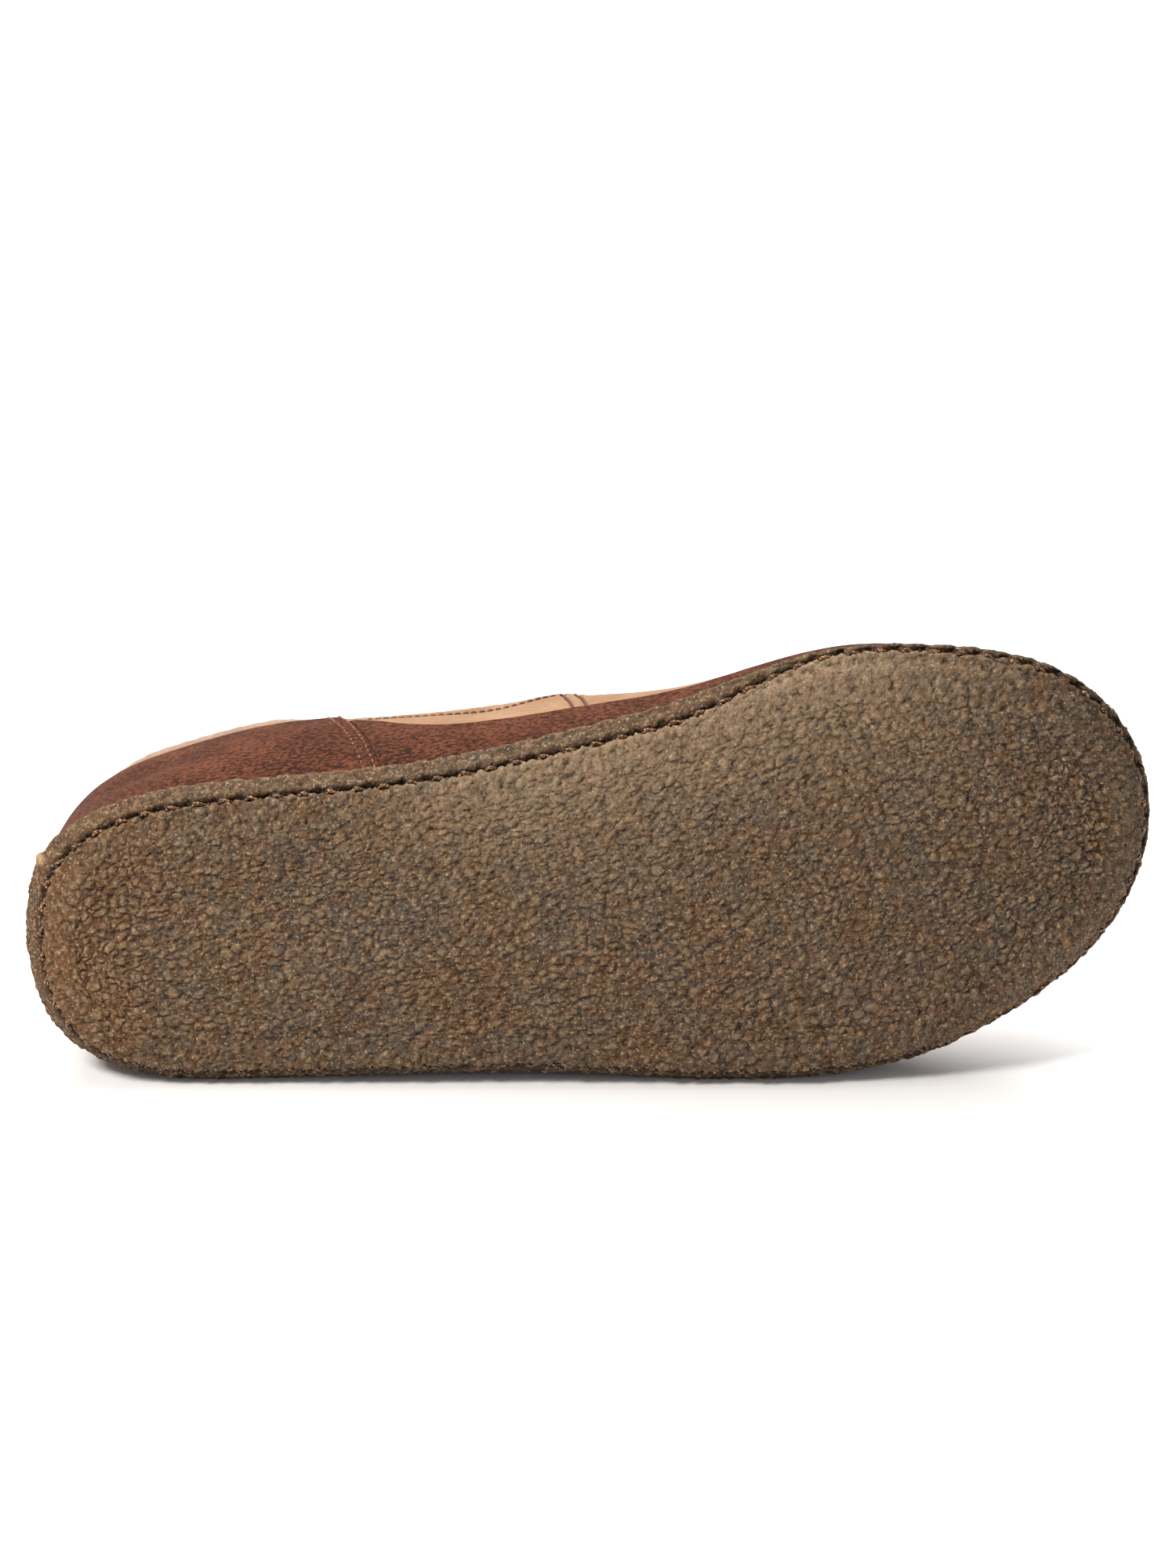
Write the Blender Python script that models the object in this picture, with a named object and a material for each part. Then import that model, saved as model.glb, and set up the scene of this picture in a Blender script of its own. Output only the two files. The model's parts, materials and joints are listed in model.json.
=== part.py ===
"""A moccasin slipper for the left foot, lying on its outer side.

The shoe is worked out in its own standing frame first: X runs from heel to toe, Y to the outer
side and Z up from the tread. A place is written (along, inner, up), where along is measured from
the back of the sole seam and inner from the outer edge of that seam towards the big-toe side.
The whole shoe is then laid down on its outer side, on the face of its own hull that carries it.
"""

import math

import bmesh
import bpy
import numpy as np
from mathutils import Matrix, Vector
from mathutils.geometry import intersect_ray_tri

# Driving sizes of the shoe, in metres. Length and breadth are those of the sole seam.
SEAM_LENGTH = 0.2886
BALL_BREADTH = 0.1130
INSTEP_HEIGHT = 0.078
HEEL_HEIGHT = 0.0585
TOE_SPRING = 0.013
HEEL_LIFT = 0.002

# Where the tread starts to rise, as shares of the seam's length, and how late the toe's rise comes.
TOE_SPRING_START = 0.64
TOE_SPRING_POWER = 2.2
HEEL_LIFT_START = 0.07

# The crepe sheet of the sole, and the lip that it turns up outside the seam.
SHEET_THICKNESS = 0.0050
SEAM_HEIGHT = 0.0022
SEAM_DEPTH = 0.0006
EDGE_ROUNDING = 0.0060
LIP_WIDTH = 0.0056
LIP_THICKNESS = 0.0026
LIP_LEAN = math.radians(50)
LIP_EDGE_ROUNDING = 0.0005

# The rounded edge of the tread, from its flat to the seam.
# Columns: share of the rounding's width inside the seam, share of the seam's height.
TREAD_EDGE = (
    (1.00, 0.00),
    (0.50, 0.12),
    (0.22, 0.50),
)

# Walls, overlays and the clearance that each touching pair keeps.
CLEARANCE = 0.0003
UPPER_WALL = 0.0018
FOXING_THICKNESS = 0.0013
COUNTER_THICKNESS = 0.0017
BINDING_WIDTH = 0.0046
BINDING_HEIGHT = 0.0042
BINDING_TO_COUNTER = 0.0012
INSOLE_THICKNESS = 0.0045
INSOLE_EDGE_ROUNDING = 0.0012
INSOLE_EDGE_FLARE = 0.7
UPPER_BULGE = 0.0048
PLUG_SEAM_RIDGE = 0.0018
PLUG_RISE = 0.00045

# How far the ridge line along the top stays inside the two ends of the seam.
RIDGE_FROM_HEEL = 0.0290
RIDGE_FROM_TOE = 0.0420

# Where the slanted front edge of the heel counter lies, down at the tread and up at heel height.
COUNTER_EDGE_FOOT = 0.0940
COUNTER_EDGE_TOP = 0.0760

# The seam seen from above, from the heel along the inner side to the toe and back.
# Columns: share of the seam's length, share of the ball's breadth.
SEAM_OUTLINE = (
    (0.000, 0.352),
    (0.008, 0.479),
    (0.030, 0.563),
    (0.075, 0.636),
    (0.145, 0.680),
    (0.235, 0.702),
    (0.330, 0.726),
    (0.415, 0.764),
    (0.495, 0.812),
    (0.575, 0.868),
    (0.650, 0.940),
    (0.730, 0.995),
    (0.800, 0.997),
    (0.870, 0.970),
    (0.930, 0.905),
    (0.975, 0.787),
    (0.995, 0.670),
    (1.000, 0.560),
    (0.988, 0.420),
    (0.950, 0.275),
    (0.890, 0.156),
    (0.815, 0.062),
    (0.735, 0.013),
    (0.650, 0.000),
    (0.560, 0.006),
    (0.440, 0.021),
    (0.320, 0.017),
    (0.200, 0.010),
    (0.125, 0.012),
    (0.070, 0.042),
    (0.026, 0.112),
    (0.005, 0.220),
)
TOE_ROW = 17

# The last's sections. Columns: share of the seam's length, top line as a share of the instep
# height, that line's place as a share of the ball's breadth, fullness, the exponent of the
# section's curve, which is 2 for an ellipse and more for a boxier one, and how many times its
# usual swell the wall has on the inner side, where the waist of the sole is drawn in under it.
LAST_SECTIONS = (
    (0.00, 1.22, 0.358, 3.2, 0.6),
    (0.12, 1.23, 0.358, 3.2, 1.0),
    (0.22, 1.23, 0.362, 3.2, 2.3),
    (0.34, 1.17, 0.382, 3.0, 2.4),
    (0.46, 1.05, 0.425, 2.8, 2.1),
    (0.54, 0.90, 0.465, 2.5, 1.6),
    (0.64, 0.73, 0.505, 2.4, 1.2),
    (0.75, 0.58, 0.535, 2.3, 1.0),
    (0.86, 0.46, 0.550, 2.2, 1.0),
    (1.00, 0.40, 0.550, 2.1, 1.0),
)

# Columns: share of the seam's length, collar edge as a share of the heel height.
COLLAR_LINE = (
    (0.00, 1.000),
    (0.08, 0.985),
    (0.16, 0.950),
    (0.26, 0.900),
    (0.36, 0.825),
    (0.44, 0.855),
    (0.50, 1.000),
    (0.56, 1.250),
)

# Columns: share of the seam's length, top of the brown foxing as a share of the heel height.
FOXING_LINE = (
    (0.20, 0.860),
    (0.29, 0.720),
    (0.34, 0.555),
    (0.37, 0.485),
    (0.40, 0.452),
    (0.44, 0.430),
    (0.51, 0.415),
    (0.58, 0.395),
    (0.72, 0.370),
    (0.86, 0.350),
    (1.00, 0.340),
)

# The upper's rows of points, as shares of the way from the feather edge to the collar or ridge.
# The plug's raised seam runs along one of them and fades in over a share of the seam's length.
UPPER_ROWS = (0.0, 0.05, 0.10, 0.21, 0.33, 0.44, 0.54, 0.61, 0.655, 0.70, 0.80, 0.90, 1.0)
PLUG_SEAM_ROW = 8
PLUG_SEAM_FADE = 0.05

# How finely the last is worked out, and how finely the solids are meshed. Columns of points stand
# closer together towards the throat, over the last share of the way to it, and at the toe.
SAMPLES_PER_ROW = 40
LAST_TURNS = 720
LAST_LEVELS = 97
HEEL_CELLS = 13
THROAT_CELLS = 10
THROAT_CELLS_START = 0.62
THROAT_CROWDING = 1.7
TOE_CELLS = 22
TOE_CROWDING = 0.35
SOLE_CELLS_ACROSS = 6
OVERLAY_ROW_SHARES = np.linspace(0, 1, 8) ** 1.4
BINDING_SIDES = 8

# Weights that place the centre of mass, in kilograms a cubic metre.
CREPE_DENSITY = 950.0
SUEDE_DENSITY = 650.0
FOAM_DENSITY = 250.0


def natural_spline(places, values, wanted):
    """A natural cubic spline through a table's column, read at the wanted places."""
    places = np.asarray(places, float)
    values = np.asarray(values, float)
    gaps = np.diff(places)
    count = len(places)
    system = np.eye(count)
    right = np.zeros(count)
    for i in range(1, count - 1):
        system[i, i - 1 : i + 2] = gaps[i - 1], 2 * (gaps[i - 1] + gaps[i]), gaps[i]
        slopes = np.diff(values[i - 1 : i + 2]) / gaps[i - 1 : i + 1]
        right[i] = 6 * (slopes[1] - slopes[0])
    bends = np.linalg.solve(system, right)
    wanted = np.clip(wanted, places[0], places[-1])
    cell = np.clip(np.searchsorted(places, wanted) - 1, 0, count - 2)
    gap = gaps[cell]
    before = (wanted - places[cell]) / gap
    after = 1 - before
    curved = (after**3 - after) * bends[cell] + (before**3 - before) * bends[cell + 1]
    return after * values[cell] + before * values[cell + 1] + curved * gap**2 / 6


def read_table(table, index, along):
    """A table's column at places along the shoe, given in metres from the back of the seam."""
    rows = np.array(table)
    return natural_spline(rows[:, 0], rows[:, index], along / SEAM_LENGTH)


def closed_curve(points):
    """A smooth closed curve through the points."""
    around = np.concatenate([points[-3:], points, points[:4]])
    steps = np.sqrt(np.linalg.norm(np.diff(around, axis=0), axis=1))
    places = np.concatenate([[0], np.cumsum(steps)])
    share = np.arange(SAMPLES_PER_ROW) / SAMPLES_PER_ROW
    starts = places[3 : 3 + len(points), None]
    wanted = (starts + share * steps[3 : 3 + len(points), None]).ravel()
    return np.stack([natural_spline(places, around[:, i], wanted) for i in (0, 1)], axis=1)


def seam_curve():
    """The seam's outline at even turns: 0 at the heel, 0.5 at the toe, going by the inner side."""
    curve = closed_curve(np.array(SEAM_OUTLINE) * (SEAM_LENGTH, BALL_BREADTH))
    curve = np.concatenate([curve, curve[:1]])
    steps = np.linalg.norm(np.diff(curve, axis=0), axis=1)
    walked = np.concatenate([[0], np.cumsum(steps)])
    toe = walked[TOE_ROW * SAMPLES_PER_ROW]
    back = (walked[-1] - walked) / (walked[-1] - toe)
    turns = np.where(walked <= toe, 0.5 * walked / toe, 1 - 0.5 * back)
    even = np.arange(LAST_TURNS) / LAST_TURNS
    return np.stack([np.interp(even, turns, curve[:, i]) for i in (0, 1)], axis=1)


def outward(curve):
    """The level unit vectors that point out of a closed outline."""
    ahead = np.roll(curve, -1, axis=0) - np.roll(curve, 1, axis=0)
    out = np.stack([-ahead[:, 1], ahead[:, 0]], axis=1)
    return out / np.linalg.norm(out, axis=1)[:, None]


SEAM = seam_curve()
SEAM_OUT = outward(SEAM)


def at_turns(values, turns):
    """Pairs that are known at even turns, read at any turns."""
    known = np.arange(LAST_TURNS + 1) / LAST_TURNS
    looped = np.concatenate([values, values[:1]])
    return np.stack([np.interp(np.mod(turns, 1.0), known, looped[:, i]) for i in (0, 1)], axis=-1)


def lift(along):
    """How far the tread rises at the toe and at the back of the heel."""
    share = along / SEAM_LENGTH
    toe_share = np.clip((share - TOE_SPRING_START) / (1 - TOE_SPRING_START), 0, None)
    heel_share = np.clip(1 - share / HEEL_LIFT_START, 0, None)
    return TOE_SPRING * toe_share**TOE_SPRING_POWER + HEEL_LIFT * heel_share**2


def standing(along, inner, up):
    """Points of the standing shoe, in X, Y and Z, with the lift of toe and heel."""
    return np.stack([along, -inner, up + lift(along)], axis=-1)


def sole_ring(turns, out, up):
    """A ring of points at a distance outside the seam and at a height over the tread."""
    place = at_turns(SEAM, turns) + at_turns(SEAM_OUT, turns) * out
    return standing(place[:, 0], place[:, 1], up)


# The lip's two faces are parallel and lean outwards. The upper stands inside them, with room for
# the thickest overlay, and starts just over the sheet.
LIP_OUT = (math.cos(LIP_LEAN), math.sin(LIP_LEAN))
LIP_FOOT_OUT = (SHEET_THICKNESS - SEAM_HEIGHT) / math.tan(LIP_LEAN) - LIP_THICKNESS / LIP_OUT[1]
OVERLAY_ROOM = CLEARANCE + COUNTER_THICKNESS + CLEARANCE
FEATHER_INSET = OVERLAY_ROOM / LIP_OUT[1] - LIP_FOOT_OUT
FEATHER_HEIGHT = SHEET_THICKNESS + CLEARANCE


def ridge_line():
    """For each turn, the place and height that its section climbs to, its fullness and swell."""
    across = SEAM[(-np.arange(LAST_TURNS)) % LAST_TURNS]
    middle = (SEAM[:, 0] + across[:, 0]) / 2
    reach = SEAM_LENGTH - RIDGE_FROM_HEEL - RIDGE_FROM_TOE
    along = RIDGE_FROM_HEEL + reach * middle / SEAM_LENGTH
    crown = read_table(LAST_SECTIONS, 1, along) * INSTEP_HEIGHT
    inner = read_table(LAST_SECTIONS, 2, along) * BALL_BREADTH
    fullness = read_table(LAST_SECTIONS, 3, along)
    on_inner_side = np.clip(SEAM_OUT[:, 1], 0, 1)
    swell = 1 + (read_table(LAST_SECTIONS, 4, SEAM[:, 0]) - 1) * on_inner_side
    return np.stack([along, inner], axis=1), crown, fullness, swell * UPPER_BULGE


def last_surface():
    """The outside of the upper, as points over turns and levels.

    Level 0 is the feather edge inside the lip, and level 1 the ridge line along the top. A
    section leaves the feather edge at the lip's lean, swells, and then follows its own curve.
    """
    foot = SEAM - SEAM_OUT * FEATHER_INSET
    target, crown, fullness, swell = ridge_line()
    reach = np.linalg.norm(target - foot, axis=1)
    inwards = (target - foot) / reach[:, None]
    angle = np.linspace(0, math.pi / 2, 4 * LAST_LEVELS)
    points = np.empty((LAST_TURNS, LAST_LEVELS, 3))
    for turn in range(LAST_TURNS):
        power = 2 / fullness[turn]
        climb = crown[turn] - FEATHER_HEIGHT
        into = reach[turn] * (1 - np.cos(angle) ** power)
        up = climb * np.sin(angle) ** power
        swollen = swell[turn] * (1 - np.exp(-up / math.tan(LIP_LEAN) / swell[turn]))
        into = into - swollen * (1 - (up / climb) ** 2)
        walked = np.concatenate([[0], np.cumsum(np.hypot(np.diff(into), np.diff(up)))])
        even = np.linspace(0, walked[-1], LAST_LEVELS)
        into = np.interp(even, walked, into)
        up = np.interp(even, walked, up)
        place = foot[turn] + inwards[turn] * into[:, None]
        points[turn] = standing(place[:, 0], place[:, 1], FEATHER_HEIGHT + up)
    return points


def surface_normals(points):
    """Outward unit normals of the last, made even across the ridge line."""
    around = np.roll(points, -1, axis=0) - np.roll(points, 1, axis=0)
    upwards = np.gradient(points, axis=1)
    normals = np.cross(around, upwards)
    normals[:, :-1] /= np.linalg.norm(normals[:, :-1], axis=2)[:, :, None]
    partner = (-np.arange(LAST_TURNS)) % LAST_TURNS
    top = normals[:, -2] + normals[partner, -2]
    normals[:, -1] = top / np.linalg.norm(top, axis=1)[:, None]
    return normals


LAST = last_surface()
LAST_NORMALS = surface_normals(LAST)
LEVELS = np.linspace(0, 1, LAST_LEVELS)


def skin(turns, levels, out):
    """Points at a distance outside the last, at turns and levels."""
    turns, levels = np.broadcast_arrays(np.asarray(turns, float), np.asarray(levels, float))
    column_at = np.mod(turns, 1.0) * LAST_TURNS
    row_at = np.clip(levels, 0, 1) * (LAST_LEVELS - 1)
    left = np.floor(column_at).astype(int) % LAST_TURNS
    right = (left + 1) % LAST_TURNS
    low = np.minimum(np.floor(row_at).astype(int), LAST_LEVELS - 2)
    sideways = (column_at - np.floor(column_at))[..., None]
    upwards = (row_at - low)[..., None]
    blended = []
    for grid in (LAST, LAST_NORMALS):
        lower = grid[left, low] * (1 - sideways) + grid[right, low] * sideways
        upper = grid[left, low + 1] * (1 - sideways) + grid[right, low + 1] * sideways
        blended.append(lower * (1 - upwards) + upper * upwards)
    normal = blended[1] / np.linalg.norm(blended[1], axis=-1)[..., None]
    return blended[0] + normal * np.asarray(out)[..., None]


def section(turn):
    """One section of the last: how far along and how high over the tread each level is."""
    profile = skin(turn, LEVELS, 0.0)
    return profile[:, 0], profile[:, 2] - lift(profile[:, 0])


def level_under(table, turn, drop=0.0):
    """The level at which a section meets a height line, or 1 where it stays under the line."""
    along, up = section(turn)
    over = up - read_table(table, 1, along) * HEEL_HEIGHT + drop
    if over[-1] <= 0:
        return 1.0
    first = int(np.argmax(over > 0))
    return float(np.interp(0, over[first - 1 : first + 1], LEVELS[first - 1 : first + 1]))


def throat_turn():
    """The turn at which the collar edge climbs onto the ridge line."""
    low, high = 0.0, 0.5
    for _ in range(50):
        middle = (low + high) / 2
        if level_under(COLLAR_LINE, middle) < 1.0:
            low = middle
        else:
            high = middle
    return high


THROAT = throat_turn()


def inner_turns():
    """The turns of the inner side's columns, from heel to toe, closer together at the throat."""
    start = THROAT * THROAT_CELLS_START
    heel = np.linspace(0, start, HEEL_CELLS + 1)[:-1]
    share = np.arange(THROAT_CELLS) / THROAT_CELLS
    throat = start + (THROAT - start) * (1 - (1 - share) ** THROAT_CROWDING)
    share = np.arange(TOE_CELLS + 1) / TOE_CELLS
    share = TOE_CROWDING * share**2 + (1 - TOE_CROWDING) * share
    return np.concatenate([heel, throat, THROAT + (0.5 - THROAT) * share])


INNER_TURNS = inner_turns()
RING_TURNS = np.concatenate([INNER_TURNS, 1 - INNER_TURNS[-2:0:-1]])
THROAT_COLUMN = HEEL_CELLS + THROAT_CELLS


def collar_levels(turns):
    """The level of the collar edge at each turn, and 1 in front of the throat."""
    levels = []
    for turn in turns:
        in_front = THROAT <= turn <= 1 - THROAT
        levels.append(1.0 if in_front else level_under(COLLAR_LINE, turn))
    return np.array(levels)


def new_object(name, points, faces, material):
    """A mesh object in a material, with its points merged where they meet and its faces out."""
    mesh = bpy.data.meshes.new(name)
    work = bmesh.new()
    corners = [work.verts.new(point) for point in points]
    for face in faces:
        work.faces.new([corners[i] for i in face])
    bmesh.ops.remove_doubles(work, verts=work.verts, dist=1e-6)
    bmesh.ops.recalc_face_normals(work, faces=work.faces)
    work.to_mesh(mesh)
    work.free()
    mesh.shade_smooth()
    mesh.set_sharp_from_angle(angle=math.radians(40))
    mesh.materials.append(material)
    built = bpy.data.objects.new(name, mesh)
    bpy.context.scene.collection.objects.link(built)
    return built


def grid_faces(rows, columns, closed_rows=False, closed_columns=False):
    """The quads of a grid of points stored row by row."""
    faces = []
    for row in range(rows if closed_rows else rows - 1):
        start = row * columns
        above = (row + 1) % rows * columns
        for cell in range(columns if closed_columns else columns - 1):
            beside = (cell + 1) % columns
            faces.append((start + cell, start + beside, above + beside, above + cell))
    return faces


def fill_ring(ring, first, following):
    """Points and faces that fill a ring, in strips that run from its inner to its outer side.

    The ring's own points are numbered from first on, and the new ones from following on.
    """
    stations = len(INNER_TURNS) - 1
    points = []
    index = {}
    for station in range(1, stations):
        index[station, 0] = first + station
        index[station, SOLE_CELLS_ACROSS] = first + len(ring) - station
        step = (ring[-station] - ring[station]) / SOLE_CELLS_ACROSS
        for across in range(1, SOLE_CELLS_ACROSS):
            index[station, across] = following + len(points)
            points.append(ring[station] + step * across)
    last = stations - 1
    faces = []
    for across in range(SOLE_CELLS_ACROSS):
        beside = across + 1
        faces.append((first, index[1, across], index[1, beside]))
        faces.append((first + stations, index[last, across], index[last, beside]))
        for station in range(1, last):
            near = (index[station, across], index[station + 1, across])
            faces.append(near + (index[station + 1, beside], index[station, beside]))
    return points, faces


def slab(rings, name, material):
    """A closed solid from rings that run from its underside round the edge to its top side."""
    count = len(RING_TURNS)
    points = list(np.concatenate(rings))
    faces = grid_faces(len(rings), count, closed_columns=True)
    for ring, first in ((rings[0], 0), (rings[-1], (len(rings) - 1) * count)):
        extra, fill = fill_ring(ring, first, len(points))
        points.extend(extra)
        faces.extend(fill)
    return new_object(name, points, faces, material)


def build_outsole(material):
    """The crepe sheet: its tread, the drawn-in seam, the lip turned up outside it and its top."""
    tip = (LIP_OUT[0] * LIP_WIDTH, SEAM_HEIGHT + LIP_OUT[1] * LIP_WIDTH)
    far_tip = (tip[0] - LIP_OUT[1] * LIP_THICKNESS, tip[1] + LIP_OUT[0] * LIP_THICKNESS)
    edge = LIP_EDGE_ROUNDING
    profile = [(-inside * EDGE_ROUNDING, up * SEAM_HEIGHT) for inside, up in TREAD_EDGE]
    profile += [
        (-SEAM_DEPTH, SEAM_HEIGHT),
        (tip[0] / 4, SEAM_HEIGHT + (tip[1] - SEAM_HEIGHT) / 4),
        (tip[0] - LIP_OUT[0] * edge, tip[1] - LIP_OUT[1] * edge),
        (tip[0] - LIP_OUT[1] * edge, tip[1] + LIP_OUT[0] * edge),
        (far_tip[0] + LIP_OUT[1] * edge, far_tip[1] - LIP_OUT[0] * edge),
        (far_tip[0] - LIP_OUT[0] * edge, far_tip[1] - LIP_OUT[1] * edge),
        (LIP_FOOT_OUT, SHEET_THICKNESS),
    ]
    return slab([sole_ring(RING_TURNS, out, up) for out, up in profile], "outsole", material)


def build_insole(material):
    """The footbed: it lies on the crepe sheet, and its edge follows the wall of the upper."""
    flare = INSOLE_EDGE_FLARE / math.tan(LIP_LEAN)
    foot_edge = -(FEATHER_INSET + (UPPER_WALL + CLEARANCE) / LIP_OUT[1])
    low = SHEET_THICKNESS + CLEARANCE
    high = low + INSOLE_THICKNESS
    bevel = INSOLE_EDGE_ROUNDING
    profile = (
        (foot_edge - bevel, low),
        (foot_edge + flare * bevel, low + bevel),
        (foot_edge + flare * (INSOLE_THICKNESS - bevel), high - bevel),
        (foot_edge + flare * INSOLE_THICKNESS - bevel, high),
    )
    return slab([sole_ring(RING_TURNS, out, up) for out, up in profile], "insole", material)


def plug_seam(turns):
    """How far each row of the upper stands out for the plug's raised seam, over rows and turns."""
    along = skin(turns, 1.0, 0.0)[:, 0]
    start = skin(THROAT, 1.0, 0.0)[0]
    fade = np.clip((along - start) / (PLUG_SEAM_FADE * SEAM_LENGTH), 0, 1)
    fade = fade * fade * (3 - 2 * fade)
    raised = np.zeros((len(UPPER_ROWS), len(turns)))
    raised[PLUG_SEAM_ROW] = PLUG_SEAM_RIDGE * fade
    raised[PLUG_SEAM_ROW + 1 :] = PLUG_RISE * fade
    return raised


def build_upper(material):
    """The hollow suede upper: open at the collar, and underneath where the sole closes it."""
    rows = len(UPPER_ROWS)
    count = len(RING_TURNS)
    levels = collar_levels(RING_TURNS) * np.array(UPPER_ROWS)[:, None]
    turns = np.broadcast_to(RING_TURNS, levels.shape)
    outer = skin(turns, levels, plug_seam(RING_TURNS))
    inner = skin(turns, levels, -UPPER_WALL)
    points = list(outer.reshape(-1, 3)) + list(inner.reshape(-1, 3))
    inside = rows * count
    faces = grid_faces(rows, count, closed_columns=True)
    faces += [tuple(i + inside for i in face) for face in faces]
    rim = (rows - 1) * count
    for cell in range(count):
        beside = (cell + 1) % count
        faces.append((cell, beside, beside + inside, cell + inside))
        if levels[-1, cell] < 1 or levels[-1, beside] < 1:
            faces.append((rim + cell, rim + beside, rim + beside + inside, rim + cell + inside))
    return new_object("upper", points, faces, material)


def turn_at(along, up, side):
    """The turn of a point on the inner (1) or outer (-1) side of the last."""
    turns = side * np.linspace(0, 0.5, LAST_LEVELS)
    reached = [np.interp(up, *section(turn)[::-1]) for turn in turns]
    return np.interp(along, reached, turns)


def counter_edge(side, table, drop, foot, gap):
    """The slanted front edge of the counter on one side, as turns and heights of each row.

    It runs from the foot of a piece up to its top line, which a table gives.
    """
    slope = (COUNTER_EDGE_TOP - COUNTER_EDGE_FOOT) / HEEL_HEIGHT
    top = HEEL_HEIGHT
    for _ in range(20):
        top = float(read_table(table, 1, COUNTER_EDGE_FOOT + slope * top)) * HEEL_HEIGHT - drop
    heights = foot + (top - foot) * OVERLAY_ROW_SHARES
    turns = [turn_at(COUNTER_EDGE_FOOT + slope * up + gap, up, side) for up in heights]
    return np.array(turns), heights


def build_overlay(name, thickness, table, drop, gap, forwards, material):
    """A piece sewn on the upper, from just over the sheet up to the line that a table gives.

    It runs from one slanted edge to the other, forwards round the toe or back round the heel.
    """
    foot = FEATHER_HEIGHT + (CLEARANCE + thickness) * LIP_OUT[0]
    inner_edge, heights = counter_edge(1, table, drop, foot, gap)
    outer_edge, _ = counter_edge(-1, table, drop, foot, gap)
    start, end = (inner_edge, outer_edge + 1) if forwards else (outer_edge, inner_edge)
    margin = 0.5 / len(RING_TURNS)
    between = RING_TURNS if forwards else np.sort(np.mod(RING_TURNS + 0.5, 1.0) - 0.5)
    between = between[(between > start.max() + margin) & (between < end.min() - margin)]
    rows = len(OVERLAY_ROW_SHARES)
    straight = np.tile(between, (rows, 1))
    turns = np.concatenate([start[:, None], straight, end[:, None]], axis=1)
    columns = turns.shape[1]
    levels = np.empty(turns.shape)
    for column, top_turn in enumerate(turns[-1]):
        top = np.interp(level_under(table, top_turn, drop), LEVELS, section(top_turn)[1])
        if column in (0, columns - 1):
            top = heights[-1]
        for row, turn in enumerate(turns[:, column]):
            height = foot + (top - foot) * OVERLAY_ROW_SHARES[row]
            levels[row, column] = np.interp(height, section(turn)[1], LEVELS)
    loop = [skin(turns, levels, CLEARANCE), skin(turns, levels, CLEARANCE + thickness)[::-1]]
    faces = grid_faces(2 * rows, columns, closed_rows=True)
    for cell in (0, columns - 1):
        for row in range(rows - 1):
            far = 2 * rows - 1 - row
            ends = (row, row + 1, far - 1, far)
            faces.append(tuple(end * columns + cell for end in ends))
    return new_object(name, list(np.concatenate(loop).reshape(-1, 3)), faces, material)


def build_foxing(material):
    """The brown band round the front of the shoe, from one edge of the counter to the other."""
    shape = (FOXING_THICKNESS, FOXING_LINE, 0.0, CLEARANCE, True)
    return build_overlay("foxing", *shape, material)


def build_counter(material):
    """The brown heel counter, up to just under the collar binding."""
    shape = (COUNTER_THICKNESS, COLLAR_LINE, BINDING_TO_COUNTER, 0.0, False)
    return build_overlay("heel_counter", *shape, material)


def build_binding(material):
    """The rolled binding that runs round the whole collar edge."""
    inner = INNER_TURNS[: THROAT_COLUMN + 1]
    turns = np.concatenate([inner, 1 - inner[-2:0:-1]])
    levels = collar_levels(turns)
    edge = skin(turns, levels, 0.0)
    middle = skin(turns, levels, -UPPER_WALL / 2)
    normals = edge - middle
    normals /= np.linalg.norm(normals, axis=1)[:, None]
    ahead = np.roll(middle, -1, axis=0) - np.roll(middle, 1, axis=0)
    rise = np.cross(ahead, normals)
    rise *= math.copysign(1, rise[0, 2]) / np.linalg.norm(rise, axis=1)[:, None]
    centre = middle + rise * (CLEARANCE + BINDING_HEIGHT / 2)
    rows = []
    for angle in np.arange(BINDING_SIDES) * 2 * math.pi / BINDING_SIDES:
        sideways = normals * BINDING_WIDTH / 2 * math.cos(angle)
        upwards = rise * BINDING_HEIGHT / 2 * math.sin(angle)
        rows.append(centre + sideways + upwards)
    faces = grid_faces(BINDING_SIDES, len(middle), closed_rows=True, closed_columns=True)
    return new_object("collar_binding", list(np.concatenate(rows)), faces, material)


def new_material(name, colour, roughness):
    """A plain finish for a sub-part, with no metal in it."""
    material = bpy.data.materials.new(name)
    material.use_nodes = True
    shader = material.node_tree.nodes["Principled BSDF"]
    shader.inputs["Base Color"].default_value = (*colour, 1.0)
    shader.inputs["Roughness"].default_value = roughness
    shader.inputs["Metallic"].default_value = 0.0
    return material


def corners_of(built):
    """An object's points as an array."""
    flat = np.empty(len(built.data.vertices) * 3)
    built.data.vertices.foreach_get("co", flat)
    return flat.reshape(-1, 3)


def weight_and_moment(built, density):
    """A solid's mass, and its mass times the place of its centre."""
    built.data.calc_loop_triangles()
    points = corners_of(built)
    index = np.array([tuple(triangle.vertices) for triangle in built.data.loop_triangles])
    a, b, c = points[index[:, 0]], points[index[:, 1]], points[index[:, 2]]
    volumes = np.einsum("ij,ij->i", a, np.cross(b, c)) / 6
    moment = (volumes[:, None] * (a + b + c) / 4).sum(axis=0)
    return density * volumes.sum(), density * moment


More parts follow.
